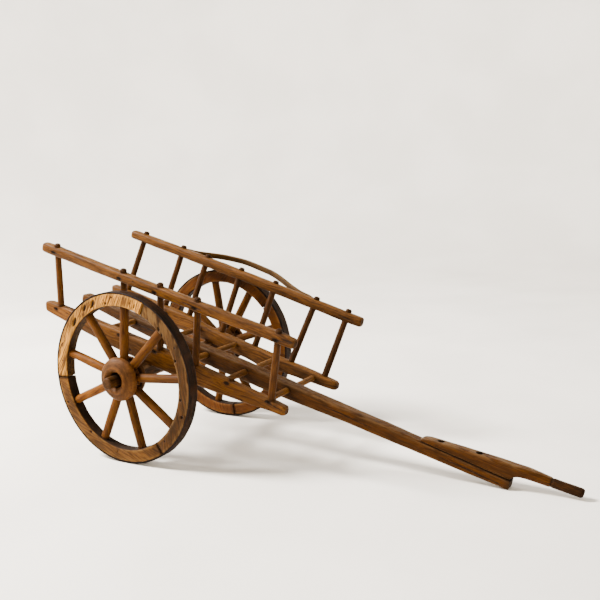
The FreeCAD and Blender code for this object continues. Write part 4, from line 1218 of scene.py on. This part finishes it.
# The nodes hidden in the wood keep their CAD shapes and get a finish.
DOWEL = wood("dowel_wood", *SPOKE_COLOURS, ring=1.8, drawn=False)
AXLE_NAIL = iron("axle_nail_iron", *NAIL_COLOURS, rough=0.8, gloss=0.02, drawn=False)
HIDDEN = {"right_felloe_dowels": DOWEL, "left_felloe_dowels": DOWEL, "axle_nails": AXLE_NAIL}
for node, material in HIDDEN.items():
    for slot in frame["nodes"][node].material_slots:
        slot.material = material

# ---------------------------------------------------------------- floor, light and camera


def make_floor():
    """A pale seamless sweep: a flat floor that turns up into a wall all round."""
    s = Shader("pale_sweep")
    place = s.node("NewGeometry", {}, "Position")
    mottle = s.noise(place, 3.0, 4.0)
    fine = s.noise(place, 260.0, 3.0)
    colour = s.mix(s.remap(mottle, 0.35, 0.65), rgb(229, 225, 218), rgb(221, 217, 210))
    material = s.finish(colour, 0.85, fine, strength=0.25, specular=0.1)
    flat, bend = 1.9, 0.9
    rings = [(0.02, 0), (1.0, 0), (flat, 0)]
    rings += [(flat + bend * math.sin(a), bend - bend * math.cos(a))
              for a in np.linspace(0.1, math.pi / 2, 12)]
    rings += [(2.8, 1.9), (2.8, 3.0)]
    segments = 96
    vertices = [(r * math.cos(a), r * math.sin(a), z) for r, z in rings
                for a in np.arange(segments) / segments * 2 * math.pi]
    faces = [(i * segments + j, i * segments + (j + 1) % segments,
              (i + 1) * segments + (j + 1) % segments, (i + 1) * segments + j)
             for i in range(len(rings) - 1) for j in range(segments)]
    faces.append(tuple(reversed(range(segments))))
    mesh = bpy.data.meshes.new("pale_sweep")
    mesh.from_pydata(vertices, [], faces)
    mesh.shade_smooth()
    mesh.materials.append(material)
    floor = bpy.data.objects.new("pale_sweep", mesh)
    bpy.context.scene.collection.objects.link(floor)
    floor.location.z = -0.0003


def make_lamp(name, place, target, size, power, colour):
    light = bpy.data.lights.new(name, "AREA")
    light.shape = "DISK"
    light.size = size
    light.energy = power
    light.color = colour
    lamp = bpy.data.objects.new(name, light)
    lamp.location = place
    lamp.rotation_euler = (Vector(target) - Vector(place)).to_track_quat("-Z", "Y").to_euler()
    bpy.context.scene.collection.objects.link(lamp)


CAMERA_ANGLES = (30.68, 8.98, -2.4)
CAMERA_PLACE = (AXLE.x + 0.7630, -0.9245, 0.3882)


def make_camera():
    """The camera stands to the right of the cart, in front of the wheels, with a small roll."""
    azimuth, elevation, roll = (math.radians(angle) for angle in CAMERA_ANGLES)
    back = Vector((math.sin(azimuth) * math.cos(elevation),
                   -math.cos(azimuth) * math.cos(elevation), math.sin(elevation)))
    right = Vector((math.cos(azimuth), math.sin(azimuth), 0))
    up = back.cross(right)
    right_rolled = right * math.cos(roll) + up * math.sin(roll)
    up_rolled = -right * math.sin(roll) + up * math.cos(roll)
    data = bpy.data.cameras.new("camera")
    data.lens = 48.55
    data.sensor_width = 36
    data.clip_start = 0.01
    camera = bpy.data.objects.new("camera", data)
    camera.matrix_world = Matrix((
        (right_rolled.x, up_rolled.x, back.x, CAMERA_PLACE[0]),
        (right_rolled.y, up_rolled.y, back.y, CAMERA_PLACE[1]),
        (right_rolled.z, up_rolled.z, back.z, CAMERA_PLACE[2]),
        (0, 0, 0, 1),
    ))
    bpy.context.scene.collection.objects.link(camera)
    bpy.context.scene.camera = camera


make_floor()
make_lamp("key", (-1.75, -0.8, 1.95), (0, 0, 0.1), 0.75, 400, (1.0, 0.96, 0.91))
make_lamp("backdrop", (-0.2, 0.4, 2.6), (-1.5, 2.6, 0.6), 1.6, 55, (0.98, 0.98, 1.0))
world = bpy.data.worlds.new("studio")
world.use_nodes = True
world.node_tree.nodes["Background"].inputs[0].default_value = (0.96, 0.98, 1.0, 1)
world.node_tree.nodes["Background"].inputs[1].default_value = 0.12
bpy.context.scene.world = world
make_camera()
